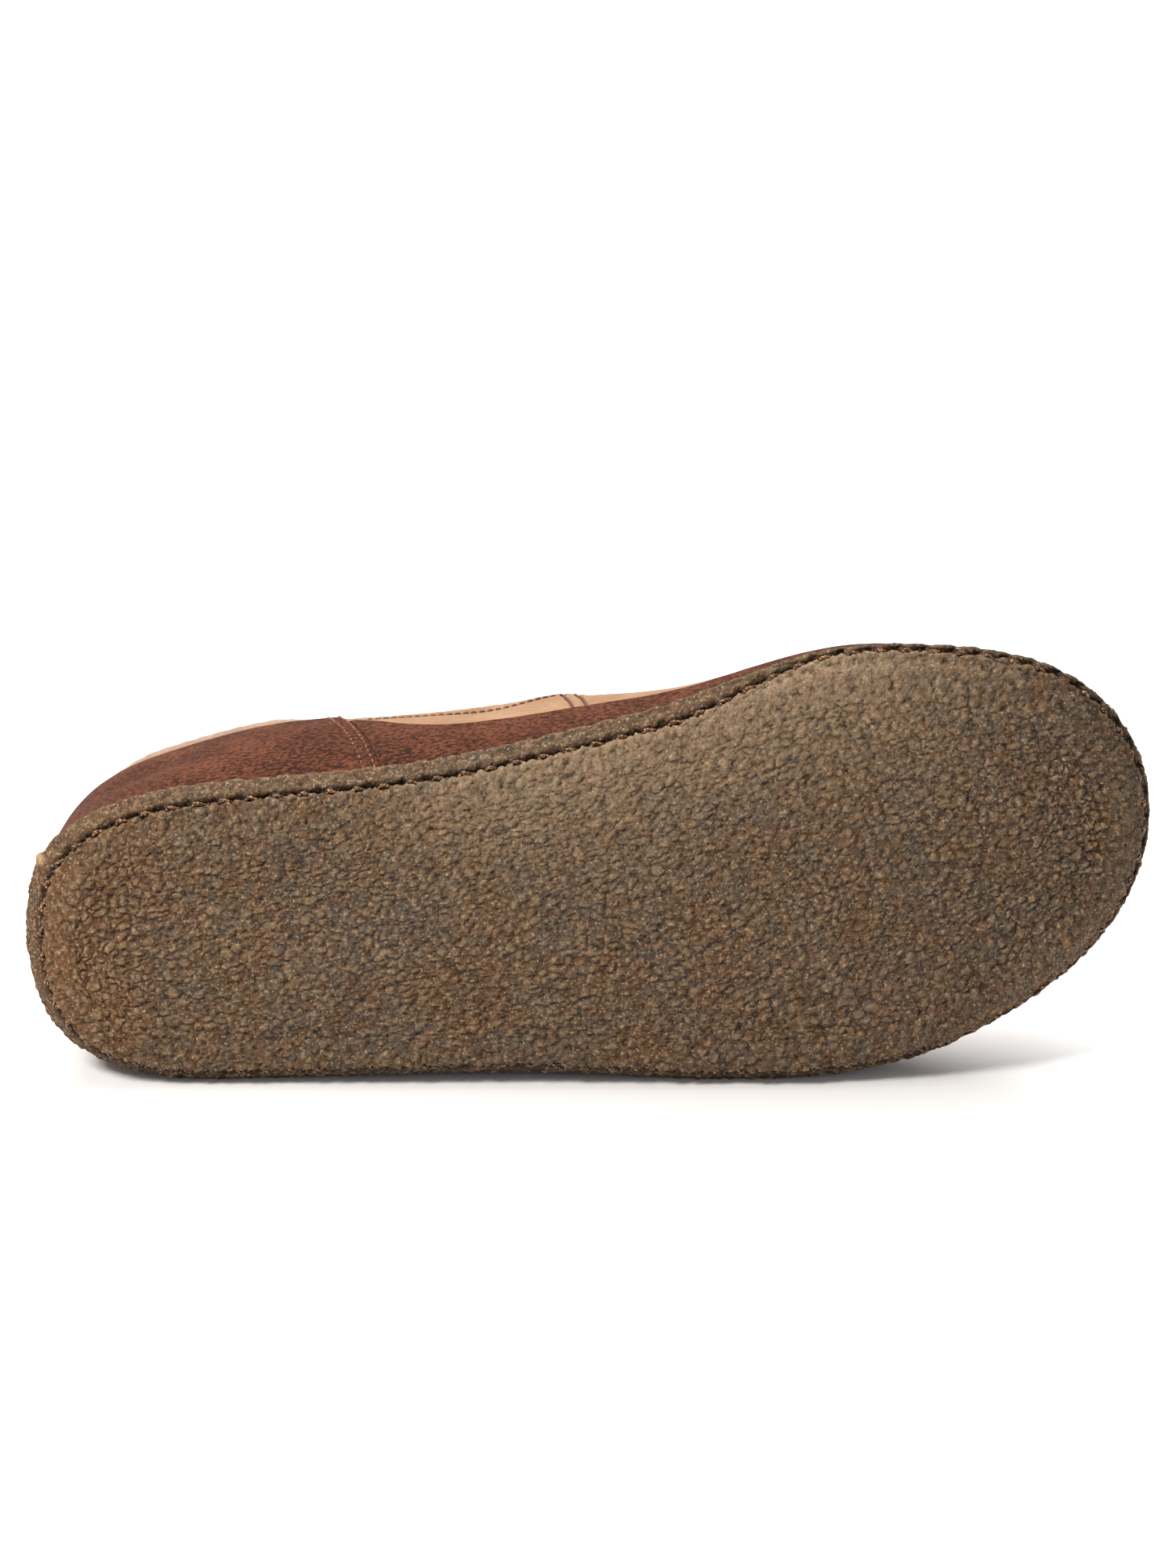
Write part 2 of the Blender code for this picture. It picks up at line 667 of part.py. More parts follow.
def lying_turn(parts):
    """The turn that lays the shoe on its outer side, on the hull face under its centre of mass."""
    weights = [weight_and_moment(built, density) for built, density in parts]
    centre = Vector(sum(moment for _, moment in weights) / sum(mass for mass, _ in weights))
    work = bmesh.new()
    for built, _ in parts:
        for point in corners_of(built):
            work.verts.new(point)
    bmesh.ops.convex_hull(work, input=work.verts)
    bmesh.ops.triangulate(work, faces=work.faces)
    outer_side = Vector((0, 1, 0))
    down = outer_side
    for face in work.faces:
        face.normal_update()
        corners = [vertex.co for vertex in face.verts]
        if face.normal.y > 0 and intersect_ray_tri(*corners, outer_side, centre, True):
            down = face.normal.copy()
    work.free()
    up = -down
    forward = Vector((1, 0, 0))
    forward = (forward - up * forward.dot(up)).normalized()
    return Matrix((forward, up.cross(forward), up))


def lay_down(parts):
    """Lays the shoe on its side, with the middle of its box over the origin and its foot at zero."""
    turn = lying_turn(parts)
    points = np.concatenate([corners_of(built) for built, _ in parts]) @ np.array(turn).T
    low, high = points.min(axis=0), points.max(axis=0)
    shift = Vector((-(low[0] + high[0]) / 2, -(low[1] + high[1]) / 2, -low[2]))
    for built, _ in parts:
        built.data.transform(Matrix.Translation(shift) @ turn.to_4x4())


def main():
    """Builds the slipper's sub-parts and lays the shoe down."""
    for old in list(bpy.data.objects):
        bpy.data.objects.remove(old)
    crepe = new_material("crepe_rubber", (0.185, 0.130, 0.088), 0.85)
    brown_suede = new_material("brown_suede", (0.145, 0.060, 0.042), 0.95)
    tan_suede = new_material("tan_suede", (0.560, 0.300, 0.145), 0.92)
    binding = new_material("collar_suede", (0.640, 0.400, 0.240), 0.88)
    felt = new_material("footbed_felt", (0.520, 0.400, 0.290), 0.95)
    lay_down(
        [
            (build_outsole(crepe), CREPE_DENSITY),
            (build_insole(felt), FOAM_DENSITY),
            (build_upper(tan_suede), SUEDE_DENSITY),
            (build_foxing(brown_suede), SUEDE_DENSITY),
            (build_counter(brown_suede), SUEDE_DENSITY),
            (build_binding(binding), SUEDE_DENSITY),
        ]
    )


main()
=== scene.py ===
"""The looks of a moccasin slipper for the left foot, which lies on its outer side.

Sizes are in metres. The shoe is worked out standing, as its solids are: X from heel to toe, Y to
the outer side and Z up from the tread. A place is (along, inner, up), with along measured from
the back of the sole seam and inner from that seam's outer edge towards the big-toe side. The two
flat spots of the tread that the record names say how the standing shoe lies on its side.
"""

import json
import logging
import math
from dataclasses import dataclass
from dataclasses import field
from enum import Enum

import bpy
import numpy as np
from mathutils import Matrix
from mathutils import Vector


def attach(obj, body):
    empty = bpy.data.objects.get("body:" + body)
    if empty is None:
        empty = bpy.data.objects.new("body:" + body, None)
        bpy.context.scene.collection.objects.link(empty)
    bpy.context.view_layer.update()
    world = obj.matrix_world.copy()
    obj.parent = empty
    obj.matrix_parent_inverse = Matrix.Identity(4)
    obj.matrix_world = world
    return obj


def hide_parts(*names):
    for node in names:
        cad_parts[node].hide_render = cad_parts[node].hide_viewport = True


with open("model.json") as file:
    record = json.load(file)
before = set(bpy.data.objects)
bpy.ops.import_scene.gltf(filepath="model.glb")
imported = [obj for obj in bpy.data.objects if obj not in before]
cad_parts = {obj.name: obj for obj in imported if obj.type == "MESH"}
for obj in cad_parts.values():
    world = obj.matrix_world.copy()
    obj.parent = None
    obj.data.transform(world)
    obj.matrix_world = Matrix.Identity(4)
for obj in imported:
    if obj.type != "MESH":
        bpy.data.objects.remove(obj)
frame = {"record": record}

LOG = logging.getLogger("slipper")
MM = 0.001

Array = np.ndarray
Faces = list[tuple[int, ...]]
Socket = bpy.types.NodeSocket
Layers = tuple[tuple[str, Socket, tuple[float, float, float]], ...]

# The seam seen from above, from the heel along the inner side to the toe and back.
# Columns: share of the seam's length, share of the ball's breadth.
SEAM_OUTLINE = (
    (0.000, 0.352),
    (0.008, 0.479),
    (0.030, 0.563),
    (0.075, 0.636),
    (0.145, 0.680),
    (0.235, 0.702),
    (0.330, 0.726),
    (0.415, 0.764),
    (0.495, 0.812),
    (0.575, 0.868),
    (0.650, 0.940),
    (0.730, 0.995),
    (0.800, 0.997),
    (0.870, 0.970),
    (0.930, 0.905),
    (0.975, 0.787),
    (0.995, 0.670),
    (1.000, 0.560),
    (0.988, 0.420),
    (0.950, 0.275),
    (0.890, 0.156),
    (0.815, 0.062),
    (0.735, 0.013),
    (0.650, 0.000),
    (0.560, 0.006),
    (0.440, 0.021),
    (0.320, 0.017),
    (0.200, 0.010),
    (0.125, 0.012),
    (0.070, 0.042),
    (0.026, 0.112),
    (0.005, 0.220),
)
TOE_ROW = 17

# Columns: share of the seam's length, top line as a share of the instep height, that line's place
# as a share of the ball's breadth, fullness of the section's curve, and the share of its usual
# swell that the wall has on the inner side.
LAST_SECTIONS = (
    (0.00, 1.22, 0.358, 3.2, 0.6),
    (0.12, 1.23, 0.358, 3.2, 1.0),
    (0.22, 1.23, 0.362, 3.2, 2.3),
    (0.34, 1.17, 0.382, 3.0, 2.4),
    (0.46, 1.05, 0.425, 2.8, 2.1),
    (0.54, 0.90, 0.465, 2.5, 1.6),
    (0.64, 0.73, 0.505, 2.4, 1.2),
    (0.75, 0.58, 0.535, 2.3, 1.0),
    (0.86, 0.46, 0.550, 2.2, 1.0),
    (1.00, 0.40, 0.550, 2.1, 1.0),
)

# Columns: share of the seam's length, collar edge as a share of the heel height.
COLLAR_LINE = (
    (0.00, 1.000),
    (0.08, 0.985),
    (0.16, 0.950),
    (0.26, 0.900),
    (0.36, 0.825),
    (0.44, 0.855),
    (0.50, 1.000),
    (0.56, 1.250),
)

# Columns: share of the seam's length, top of the brown foxing as a share of the heel height.
FOXING_LINE = (
    (0.20, 0.860),
    (0.29, 0.720),
    (0.34, 0.555),
    (0.37, 0.485),
    (0.40, 0.452),
    (0.44, 0.430),
    (0.51, 0.415),
    (0.58, 0.395),
    (0.72, 0.370),
    (0.86, 0.350),
    (1.00, 0.340),
)

# The soft troughs and ridges of the suede. Columns: side of the shoe (1 inner, -1 outer), place
# along the seam and height as shares of seam length and heel height, length along the crease and
# breadth across it in millimetres, slant in degrees and depth in millimetres.
CREASES = (
    (1, 0.400, 0.70, 34, 5.0, 14, -1.0),
    (1, 0.470, 0.84, 26, 4.0, 32, 0.9),
    (1, 0.560, 0.78, 30, 5.0, -28, -1.1),
    (1, 0.660, 0.72, 34, 6.0, -22, 0.9),
    (-1, 0.420, 0.66, 40, 6.0, 10, -1.1),
    (-1, 0.520, 0.80, 30, 5.0, -30, -1.2),
    (-1, 0.600, 0.90, 32, 5.0, -34, 1.0),
    (-1, 0.700, 0.62, 36, 6.0, -16, -0.9),
    (1, 0.090, 0.62, 26, 6.0, 4, -0.8),
    (-1, 0.110, 0.58, 30, 6.0, -6, -0.8),
)


def unit(vectors: Array) -> Array:
    """The vectors at length one."""
    return vectors / np.linalg.norm(vectors, axis=-1)[..., None]


def ease(values: Array, low: float, high: float) -> Array:
    """A smooth step from 0 at low to 1 at high."""
    share = np.clip((values - low) / (high - low), 0, 1)
    return share * share * (3 - 2 * share)


def bell(values: Array, middle: float, breadth: float, power: int = 2) -> Array:
    """A soft bump that is 1 at its middle and fades over its breadth on both sides."""
    return np.exp(-(((values - middle) / breadth) ** power))


def walk(line: Array) -> Array:
    """How far along a line each of its points lies."""
    return np.concatenate([[0], np.cumsum(np.linalg.norm(np.diff(line, axis=0), axis=1))])


def both_sides(inner: Array) -> Array:
    """The turns all round the shoe, from those of its inner side."""
    return np.concatenate([inner, 1 - inner[-2:0:-1]])


def natural_spline(places: Array, values: Array, wanted: Array) -> Array:
    """A natural cubic spline through a table's column.

    Args:
        places: Where the column is known, rising.
        values: The column's values there.
        wanted: Where it is read.

    Returns:
        The spline's value at each wanted place.
    """
    gaps = np.diff(places)
    count = len(places)
    system = np.eye(count)
    right = np.zeros(count)
    for i in range(1, count - 1):
        system[i, i - 1 : i + 2] = gaps[i - 1], 2 * (gaps[i - 1] + gaps[i]), gaps[i]
        slopes = np.diff(values[i - 1 : i + 2]) / gaps[i - 1 : i + 1]
        right[i] = 6 * (slopes[1] - slopes[0])
    bends = np.linalg.solve(system, right)
    wanted = np.clip(wanted, places[0], places[-1])
    cell = np.clip(np.searchsorted(places, wanted) - 1, 0, count - 2)
    before = (wanted - places[cell]) / gaps[cell]
    after = 1 - before
    curved = (after**3 - after) * bends[cell] + (before**3 - before) * bends[cell + 1]
    return after * values[cell] + before * values[cell + 1] + curved * gaps[cell] ** 2 / 6


def smooth_line(places: Array, line: Array, wanted: Array) -> Array:
    """A flat line's points at wanted places, from splines through those that are known."""
    return np.stack([natural_spline(places, line[:, i], wanted) for i in (0, 1)], axis=1)


@dataclass(frozen=True)
class Lying:
    """How the standing shoe is laid on its outer side, from two spots on its tread."""

    heel_spot: tuple[float, float, float] = (0.045, -0.040, 0.0)

    def turn(self) -> Array:
        """The standing shoe's axes in the frame.

        Returns:
            The axes, as the columns of a matrix.
        """
        heel, forefoot = (self.mount(name) for name in ("heel_tread", "forefoot_tread"))
        up = -unit(np.array(heel["axis"], float))
        forward = np.subtract(forefoot["pos_m"], heel["pos_m"])
        forward = unit(forward - up * (forward @ up))
        return np.stack([forward, np.cross(up, forward), up], axis=1)

    def mount(self, name: str) -> dict:
        """The record's mount of this name."""
        return next(spot for spot in frame["record"]["mounts"] if spot["name"] == name)

    def place(self, points: Array) -> Array:
        """Points of the standing shoe, where they lie in the frame."""
        turn = self.turn()
        return points @ turn.T + np.array(self.mount("heel_tread")["pos_m"]) - turn @ np.array(self.heel_spot)


LYING = Lying()


class Grain:
    """Noise that is the same each time, from values kept on a lattice in space."""

    LATTICE = 256
    SPOT_MARGIN = 0.05
    LAYER_SHIFT = 17.3
    FAR_CELLS = 9.0

    def __init__(self, seed: int) -> None:
        """Draws the lattice's values.

        Args:
            seed: What the draws start from.
        """
        draws = np.random.default_rng(seed)
        self.order = np.tile(draws.permutation(self.LATTICE), 2)
        self.values = draws.uniform(-1, 1, self.LATTICE)
        self.spots = draws.uniform(self.SPOT_MARGIN, 1 - self.SPOT_MARGIN, (self.LATTICE, 3))

    def pick(self, corner: Array) -> Array:
        """The place in the lattice's tables of each whole-number corner."""
        i, j, k = np.moveaxis(corner % self.LATTICE, -1, 0)
        return self.order[(self.order[(self.order[i] + j) % self.LATTICE] + k) % self.LATTICE]

    def waves(self, points: Array, size: float, octaves: int = 1) -> Array:
        """Soft noise about zero.

        Args:
            points: Where it is read.
            size: The width of its waves.
            octaves: How many layers it has, each half as wide and half as high as the one before.

        Returns:
            The noise at each point, about -1 to 1.
        """
        total = np.zeros(points.shape[:-1])
        for octave in range(octaves):
            scaled = points * (2**octave / size) + self.LAYER_SHIFT * octave
            low = np.floor(scaled).astype(int)
            share = ease(scaled - low, 0, 1)
            for corner in np.ndindex(2, 2, 2):
                weight = np.prod(np.where(corner, share, 1 - share), axis=-1)
                total += weight * self.values[self.pick(low + corner)] / 2**octave
        return total

    def pebbles(self, points: Array, size: float) -> tuple[Array, Array]:
        """Round cells that crowd each other.

        Args:
            points: Where they are read.
            size: The cells' usual width.

        Returns:
            How far each point is from its cell's middle, and from the border to the next cell,
            both in cell widths.
        """
        scaled = points / size
        home = np.floor(scaled).astype(int)
        nearest = np.full(len(points), self.FAR_CELLS)
        second = nearest.copy()
        for step in np.ndindex(3, 3, 3):
            corner = home + np.array(step) - 1
            away = np.linalg.norm(corner + self.spots[self.pick(corner)] - scaled, axis=1)
            second = np.minimum(second, np.maximum(nearest, away))
            nearest = np.minimum(nearest, away)
        return nearest, second - nearest


def quads(*corners: Array) -> Faces:
    """Faces of four corners, from the numbers of each face's first to last corner."""
    return list(map(tuple, np.stack(corners, axis=-1).reshape(-1, 4).tolist()))


def grid_faces(rows: int, columns: int, closed_rows: bool = False, closed: bool = False) -> Faces:
    """The quads of a grid of points stored row by row.

    Args:
        rows: How many rows the grid has.
        columns: How many points a row has.
        closed_rows: Whether the last row joins the first.
        closed: Whether each row's last point joins its first.

    Returns:
        The quads, as numbers of points.
    """
    shape = (rows if closed_rows else rows - 1, columns if closed else columns - 1)
    row, cell = np.indices(shape)
    beside, own, above = (cell + 1) % columns, row * columns, (row + 1) % rows * columns
    return quads(own + cell, own + beside, above + beside, above + cell)


def triangles(faces: Faces) -> Array:
    """The corners of the faces' triangles, two for each face of four corners."""
    return np.array([face[:3] for face in faces] + [(f[0], f[2], f[3]) for f in faces if len(f) == 4]).T


def enclosed(points: Array, faces: Faces) -> float:
    """Six times the volume that the faces enclose, which is negative when they face inwards."""
    a, b, c = points[triangles(faces)]
    return float(np.einsum("ij,ij->", a, np.cross(b, c)))


def vertex_normals(points: Array, faces: Faces) -> Array:
    """Unit normals of a closed surface at its points.

    Args:
        points: The surface's points.
        faces: Its faces, of three or four corners.

    Returns:
        The normals, which point out of it.
    """
    corners = triangles(faces)
    a, b, c = points[corners]
    flat = np.cross(b - a, c - a) * np.sign(enclosed(points, faces))
    total = np.zeros(points.shape)
    for corner in corners:
        np.add.at(total, corner, flat)
    return unit(total)


@dataclass
class Pile:
    """Points and faces of one piece, gathered from one or many closed bodies."""

    points: list[Array] = field(default_factory=list)
    faces: Faces = field(default_factory=list)
    count: int = 0

    def add(self, points: Array, faces: Faces) -> "Pile":
        """Adds a body.

        Args:
            points: The body's points.
            faces: Its faces, which number these points from 0.

        Returns:
            The pile itself.
        """
        self.points.append(points)
        self.faces.extend(tuple(corner + self.count for corner in face) for face in faces)
        self.count += len(points)
        return self

    def piece(self, name: str, slot: str, finish: "Finishes") -> bpy.types.Object:
        """Makes the piece, which rides on the shoe's one body.

        Args:
            name: The piece's name.
            slot: The record's material slot that its finish belongs to; not used.
            finish: Its finish.

        Returns:
            The new object, smooth, with its faces out.
        """
        points = LYING.place(np.concatenate(self.points))
        faces = self.faces if enclosed(points, self.faces) > 0 else [face[::-1] for face in self.faces]
        mesh = bpy.data.meshes.new(name)
        mesh.from_pydata(points.tolist(), [], faces)
        mesh.shade_smooth()
        mesh.materials.append(material_of(finish))
        piece = bpy.data.objects.new(name, mesh)
        bpy.context.scene.collection.objects.link(piece)
        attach(piece, "root")
        LOG.info("%s: %d points, %d faces", name, len(points), len(faces))
        return piece


def write_values(piece: bpy.types.Object, name: str, values: Array) -> None:
    """Keeps one number for each point of a piece, for its material to read."""
    piece.data.attributes.new(name, "FLOAT", "POINT").data.foreach_set("value", values.astype(np.float32))


@dataclass
class Last:
    """The foot's form that the shoe is built round, and the sizes that it is worked out from."""

    seam_length: float = 0.2886
    ball_breadth: float = 0.1130
    instep_height: float = 0.078
    heel_height: float = 0.0585
    toe_spring: float = 0.013
    heel_lift: float = 0.002
    toe_spring_start: float = 0.64
    toe_spring_power: float = 2.2
    heel_lift_start: float = 0.07
    ridge_from_heel: float = 0.0290
    ridge_from_toe: float = 0.0420
    bulge: float = 0.0048
    feather_inset: float = 0.00392
    feather_height: float = 0.0053
    lean: float = math.radians(50)
    turns: int = 720
    levels: int = 97
    samples_a_row: int = 40
    throat_stretch: float = 0.62
    throat_crowding: float = 1.7
    toe_crowding: float = 0.3

    # How many rows of the outline are repeated at its ends, so that its spline closes smoothly.
    WRAP = 3
    HALVES = (0.0, 0.5, 1.0)

    def __post_init__(self) -> None:
        """Works out the seam, the surface and the throat once."""
        self.seam, self.reaches = self.seam_curve()
        ahead = np.roll(self.seam, -1, axis=0) - np.roll(self.seam, 1, axis=0)
        self.seam_out = unit(np.stack([-ahead[:, 1], ahead[:, 0]], axis=1))
        self.level_shares = np.linspace(0, 1, self.levels)
        self.points = self.surface()
        self.normals = self.surface_normals()
        self.throat = self.throat_turn()

    def read(self, table: tuple, column: int, along: Array) -> Array:
        """A table's column at places along the shoe, in metres from the back of the seam."""
        rows = np.array(table)
        return natural_spline(rows[:, 0], rows[:, column], along / self.seam_length)

    def seam_curve(self) -> tuple[Array, tuple[float, float, float]]:
        """The seam's outline at even turns: 0 at the heel, 0.5 at the toe, by the inner side.

        Returns:
            The outline, and how far along it the heel, the toe and the heel again lie.
        """
        rows = np.array(SEAM_OUTLINE) * (self.seam_length, self.ball_breadth)
        around = np.concatenate([rows[-self.WRAP :], rows, rows[: self.WRAP + 1]])
        steps = np.sqrt(np.linalg.norm(np.diff(around, axis=0), axis=1))
        places = np.concatenate([[0], np.cumsum(steps)])
        share = np.arange(self.samples_a_row) / self.samples_a_row
        own = slice(self.WRAP, self.WRAP + len(rows))
        curve = smooth_line(places, around, (places[own, None] + share * steps[own, None]).ravel())
        curve = np.concatenate([curve, curve[:1]])
        walked = walk(curve)
        reaches = (0.0, float(walked[TOE_ROW * self.samples_a_row]), float(walked[-1]))
        turns = np.interp(walked, reaches, self.HALVES)
        even = np.arange(self.turns) / self.turns
        return np.stack([np.interp(even, turns, curve[:, i]) for i in (0, 1)], axis=1), reaches

    def walked(self, turns: Array) -> Array:
        """How far along the seam each turn lies, from the heel by the inner side."""
        return np.interp(turns, self.HALVES, self.reaches)

    def turns_at(self, walked: Array) -> Array:
        """The turn that lies so far along the seam."""
        return np.interp(np.mod(walked, self.reaches[-1]), self.reaches, self.HALVES)

    def at_turns(self, values: Array, turns: Array) -> Array:
        """Pairs that are known at even turns, read at any turns."""
        known = np.arange(self.turns) / self.turns
        return np.stack([np.interp(turns, known, values[:, i], period=1.0) for i in (0, 1)], axis=-1)

    def facing(self, turns: Array) -> Array:
        """The seam's outward directions at turns, along the shoe and towards its inner side."""
        return self.at_turns(self.seam_out, turns)

    def lift(self, along: Array) -> Array:
        """How far the tread rises at the toe and at the back of the heel.

        Args:
            along: Places along the shoe, from the back of the seam.

        Returns:
            The rise at each of them.
        """
        share = along / self.seam_length
        toe = np.clip((share - self.toe_spring_start) / (1 - self.toe_spring_start), 0, None)
        heel = np.clip(1 - share / self.heel_lift_start, 0, None)
        return self.toe_spring * toe**self.toe_spring_power + self.heel_lift * heel**2

    def height(self, points: Array) -> Array:
        """How high over the tread points of the standing shoe are."""
        return points[..., 2] - self.lift(points[..., 0])

    def beside_ridge(self, points: Array) -> Array:
        """How far to the inner side of the ridge line points of the standing shoe lie."""
        return -points[..., 1] - self.read(LAST_SECTIONS, 2, points[..., 0]) * self.ball_breadth

    def standing(self, along: Array, inner: Array, up: Array) -> Array:
        """Points of the standing shoe, in X, Y and Z, with the lift of toe and heel."""
        return np.stack([along, -inner, up + self.lift(along)], axis=-1)

    def ring(self, turns: Array, out: Array, up: Array) -> Array:
        """Points at distances outside the seam and at heights over the tread."""
        place = self.at_turns(self.seam, turns) + self.facing(turns) * np.asarray(out)[..., None]
        return self.standing(place[..., 0], place[..., 1], up)

    def surface(self) -> Array:
        """The outside of the upper.

        Returns:
            Its points over turns and levels, 0 at the feather edge and 1 on top.
        """
        foot = self.seam - self.seam_out * self.feather_inset
        across = self.seam[(-np.arange(self.turns)) % self.turns]
        reach = self.seam_length - self.ridge_from_heel - self.ridge_from_toe
        along = self.ridge_from_heel + reach * (self.seam[:, 0] + across[:, 0]) / 2 / self.seam_length
        crown = self.read(LAST_SECTIONS, 1, along) * self.instep_height
        inner = self.read(LAST_SECTIONS, 2, along) * self.ball_breadth
        powers = 2 / self.read(LAST_SECTIONS, 3, along)
        swell = 1 + (self.read(LAST_SECTIONS, 4, self.seam[:, 0]) - 1) * np.clip(self.seam_out[:, 1], 0, 1)
        swell = swell * self.bulge
        apart = np.stack([along, inner], axis=1) - foot
        reach = np.linalg.norm(apart, axis=1)
        inwards = apart / reach[:, None]
        angle = np.linspace(0, math.pi / 2, 4 * self.levels)
        points = np.empty((self.turns, self.levels, 3))
        for turn in range(self.turns):
            climb = crown[turn] - self.feather_height
            into = reach[turn] * (1 - np.cos(angle) ** powers[turn])
            up = climb * np.sin(angle) ** powers[turn]
            swollen = swell[turn] * (1 - np.exp(-up / math.tan(self.lean) / swell[turn]))
            into = into - swollen * (1 - (up / climb) ** 2)
            walked = walk(np.stack([into, up], axis=1))
            even = np.linspace(0, walked[-1], self.levels)
            place = foot[turn] + inwards[turn] * np.interp(even, walked, into)[:, None]
            up = np.interp(even, walked, up)
            points[turn] = self.standing(place[:, 0], place[:, 1], self.feather_height + up)
        return points

    def surface_normals(self) -> Array:
        """The last's outward directions.

        Returns:
            A unit normal for each of its points, made even across the ridge line.
        """
        around = np.roll(self.points, -1, axis=0) - np.roll(self.points, 1, axis=0)
        normals = np.cross(around, np.gradient(self.points, axis=1))
        normals[:, :-1] = unit(normals[:, :-1])
        partner = (-np.arange(self.turns)) % self.turns
        normals[:, -1] = unit(normals[:, -2] + normals[partner, -2])
        return normals

    def skin(self, turns: Array, levels: Array, out: Array) -> Array:
        """Points outside the last.

        Args:
            turns: Their turns, 0 at the heel and 0.5 at the toe.
            levels: Their levels, 0 at the feather edge and 1 on the ridge line.
            out: How far outside the last they lie.

        Returns:
            The points, standing.
        """
        turns, levels = np.broadcast_arrays(np.asarray(turns, float), np.asarray(levels, float))
        column_at = np.mod(turns, 1.0) * self.turns
        row_at = np.clip(levels, 0, 1) * (self.levels - 1)
        left = np.floor(column_at).astype(int) % self.turns
        right = (left + 1) % self.turns
        low = np.minimum(np.floor(row_at).astype(int), self.levels - 2)
        sideways = (column_at - np.floor(column_at))[..., None]
        upwards = (row_at - low)[..., None]
        blended = []
        for grid in (self.points, self.normals):
            lower, upper = (
                grid[left, row] * (1 - sideways) + grid[right, row] * sideways for row in (low, low + 1)
            )
            blended.append(lower * (1 - upwards) + upper * upwards)
        return blended[0] + unit(blended[1]) * np.asarray(out)[..., None]

    def section(self, turn: float) -> tuple[Array, Array]:
        """One section of the last: how far along and how high over the tread each level is."""
        profile = self.skin(turn, self.level_shares, 0.0)
        return profile[:, 0], self.height(profile)

    def level_under(self, table: tuple, turn: float, drop: float = 0.0) -> float:
        """The level at which a section meets a height line.

        Args:
            table: The line's table.
            turn: The section's turn.
            drop: How far under the table's heights the line runs.

        Returns:
            The level, or 1 where the section stays under the line.
        """
        along, up = self.section(turn)
        over = up - self.read(table, 1, along) * self.heel_height + drop
        if over[-1] <= 0:
            return 1.0
        first = int(np.argmax(over > 0))
        cell = slice(first - 1, first + 1)
        return float(np.interp(0, over[cell], self.level_shares[cell]))

    def throat_turn(self) -> float:
        """Looks for the place where the collar edge climbs onto the ridge line.

        Returns:
            Its turn.
        """
        low, high = 0.0, 0.5
        for _ in range(50):
            middle = (low + high) / 2
            if self.level_under(COLLAR_LINE, middle) < 1.0:
                low = middle
            else:
                high = middle
        return high

    def in_front(self, turns: Array, margin: float = 0.0) -> Array:
        """Whether each turn lies in front of the throat, and past it by a margin."""
        return (turns >= self.throat + margin) & (turns <= 1 - self.throat - margin)

    def collar_levels(self, turns: Array) -> Array:
        """The level of the collar edge at each turn, and 1 in front of the throat."""
        places = zip(self.in_front(turns), turns)
        return np.array([1.0 if ahead else self.level_under(COLLAR_LINE, turn) for ahead, turn in places])

    def columns(self, heel: int, throat: int, toe: int) -> Array:
        """The inner side's turns from heel to toe, closer together at the throat.

        Args:
            heel: How many lie behind the throat's stretch.
            throat: How many lie in it.
            toe: How many lie in front of it.

        Returns:
            The turns, from 0 to 0.5.
        """
        start = self.throat_stretch * self.throat
        behind = np.linspace(0, start, heel + 1)[:-1]
        near = start + (self.throat - start) * (1 - (1 - np.arange(throat) / throat) ** self.throat_crowding)
        share = np.arange(toe + 1) / toe
        share = self.toe_crowding * share**2 + (1 - self.toe_crowding) * share
        return np.concatenate([behind, near, self.throat + (0.5 - self.throat) * share])

    def relief(self, points: Array) -> Array:
        """How far the suede's creases raise or sink it.

        Args:
            points: Points of the standing shoe.

        Returns:
            The height of the creases at each of them.
        """
        height = self.height(points)
        side = np.where(self.beside_ridge(points) > 0, 1, -1)
        total = np.zeros(points.shape[:-1])
        for of_side, at, high, length, breadth, slant, depth in CREASES:
            ahead = points[..., 0] - at * self.seam_length
            above = height - high * self.heel_height
            cos, sin = math.cos(math.radians(slant)), math.sin(math.radians(slant))
            crease = bell(ahead * cos + above * sin, 0, length * MM / 2)
            crease = crease * bell(above * cos - ahead * sin, 0, breadth * MM)
            total += np.where(side == of_side, depth * MM * crease, 0)
        return total


def linear(code: str) -> tuple[float, float, float, float]:
    """An sRGB hex colour in linear light.

    Args:
        code: The colour's six hex digits.

    Returns:
        Its red, green and blue, with alpha 1.
    """
    shares = [int(code[i : i + 2], 16) / 255 for i in (0, 2, 4)]
    light = [share / 12.92 if share <= 0.04045 else ((share + 0.055) / 1.055) ** 2.4 for share in shares]
    return (light[0], light[1], light[2], 1.0)


def add_node(tree: bpy.types.NodeTree, kind: str, settings: dict, inputs: dict) -> Socket:
    """Adds a node with its settings and links.

    Args:
        tree: The material's node tree.
        kind: The node's type, without its prefix.
        settings: Values for its own properties, and under "output" the output to give back.
        inputs: A value or another node's output for each input that is set, by name or number.

    Returns:
        The new node's first output, or the one that the settings name.
    """
    node = tree.nodes.new("ShaderNode" + kind)
    wanted = settings.pop("output", 0)
    for name, value in settings.items():
        setattr(node, name, value)
    for name, value in inputs.items():
        if isinstance(value, Socket):
            tree.links.new(value, node.inputs[name])
        else:
            node.inputs[name].default_value = value
    return node.outputs[wanted]


def per_metre(size_mm: float) -> float:
    """The scale at which a texture's features are this many millimetres wide."""
    return 1000 / size_mm


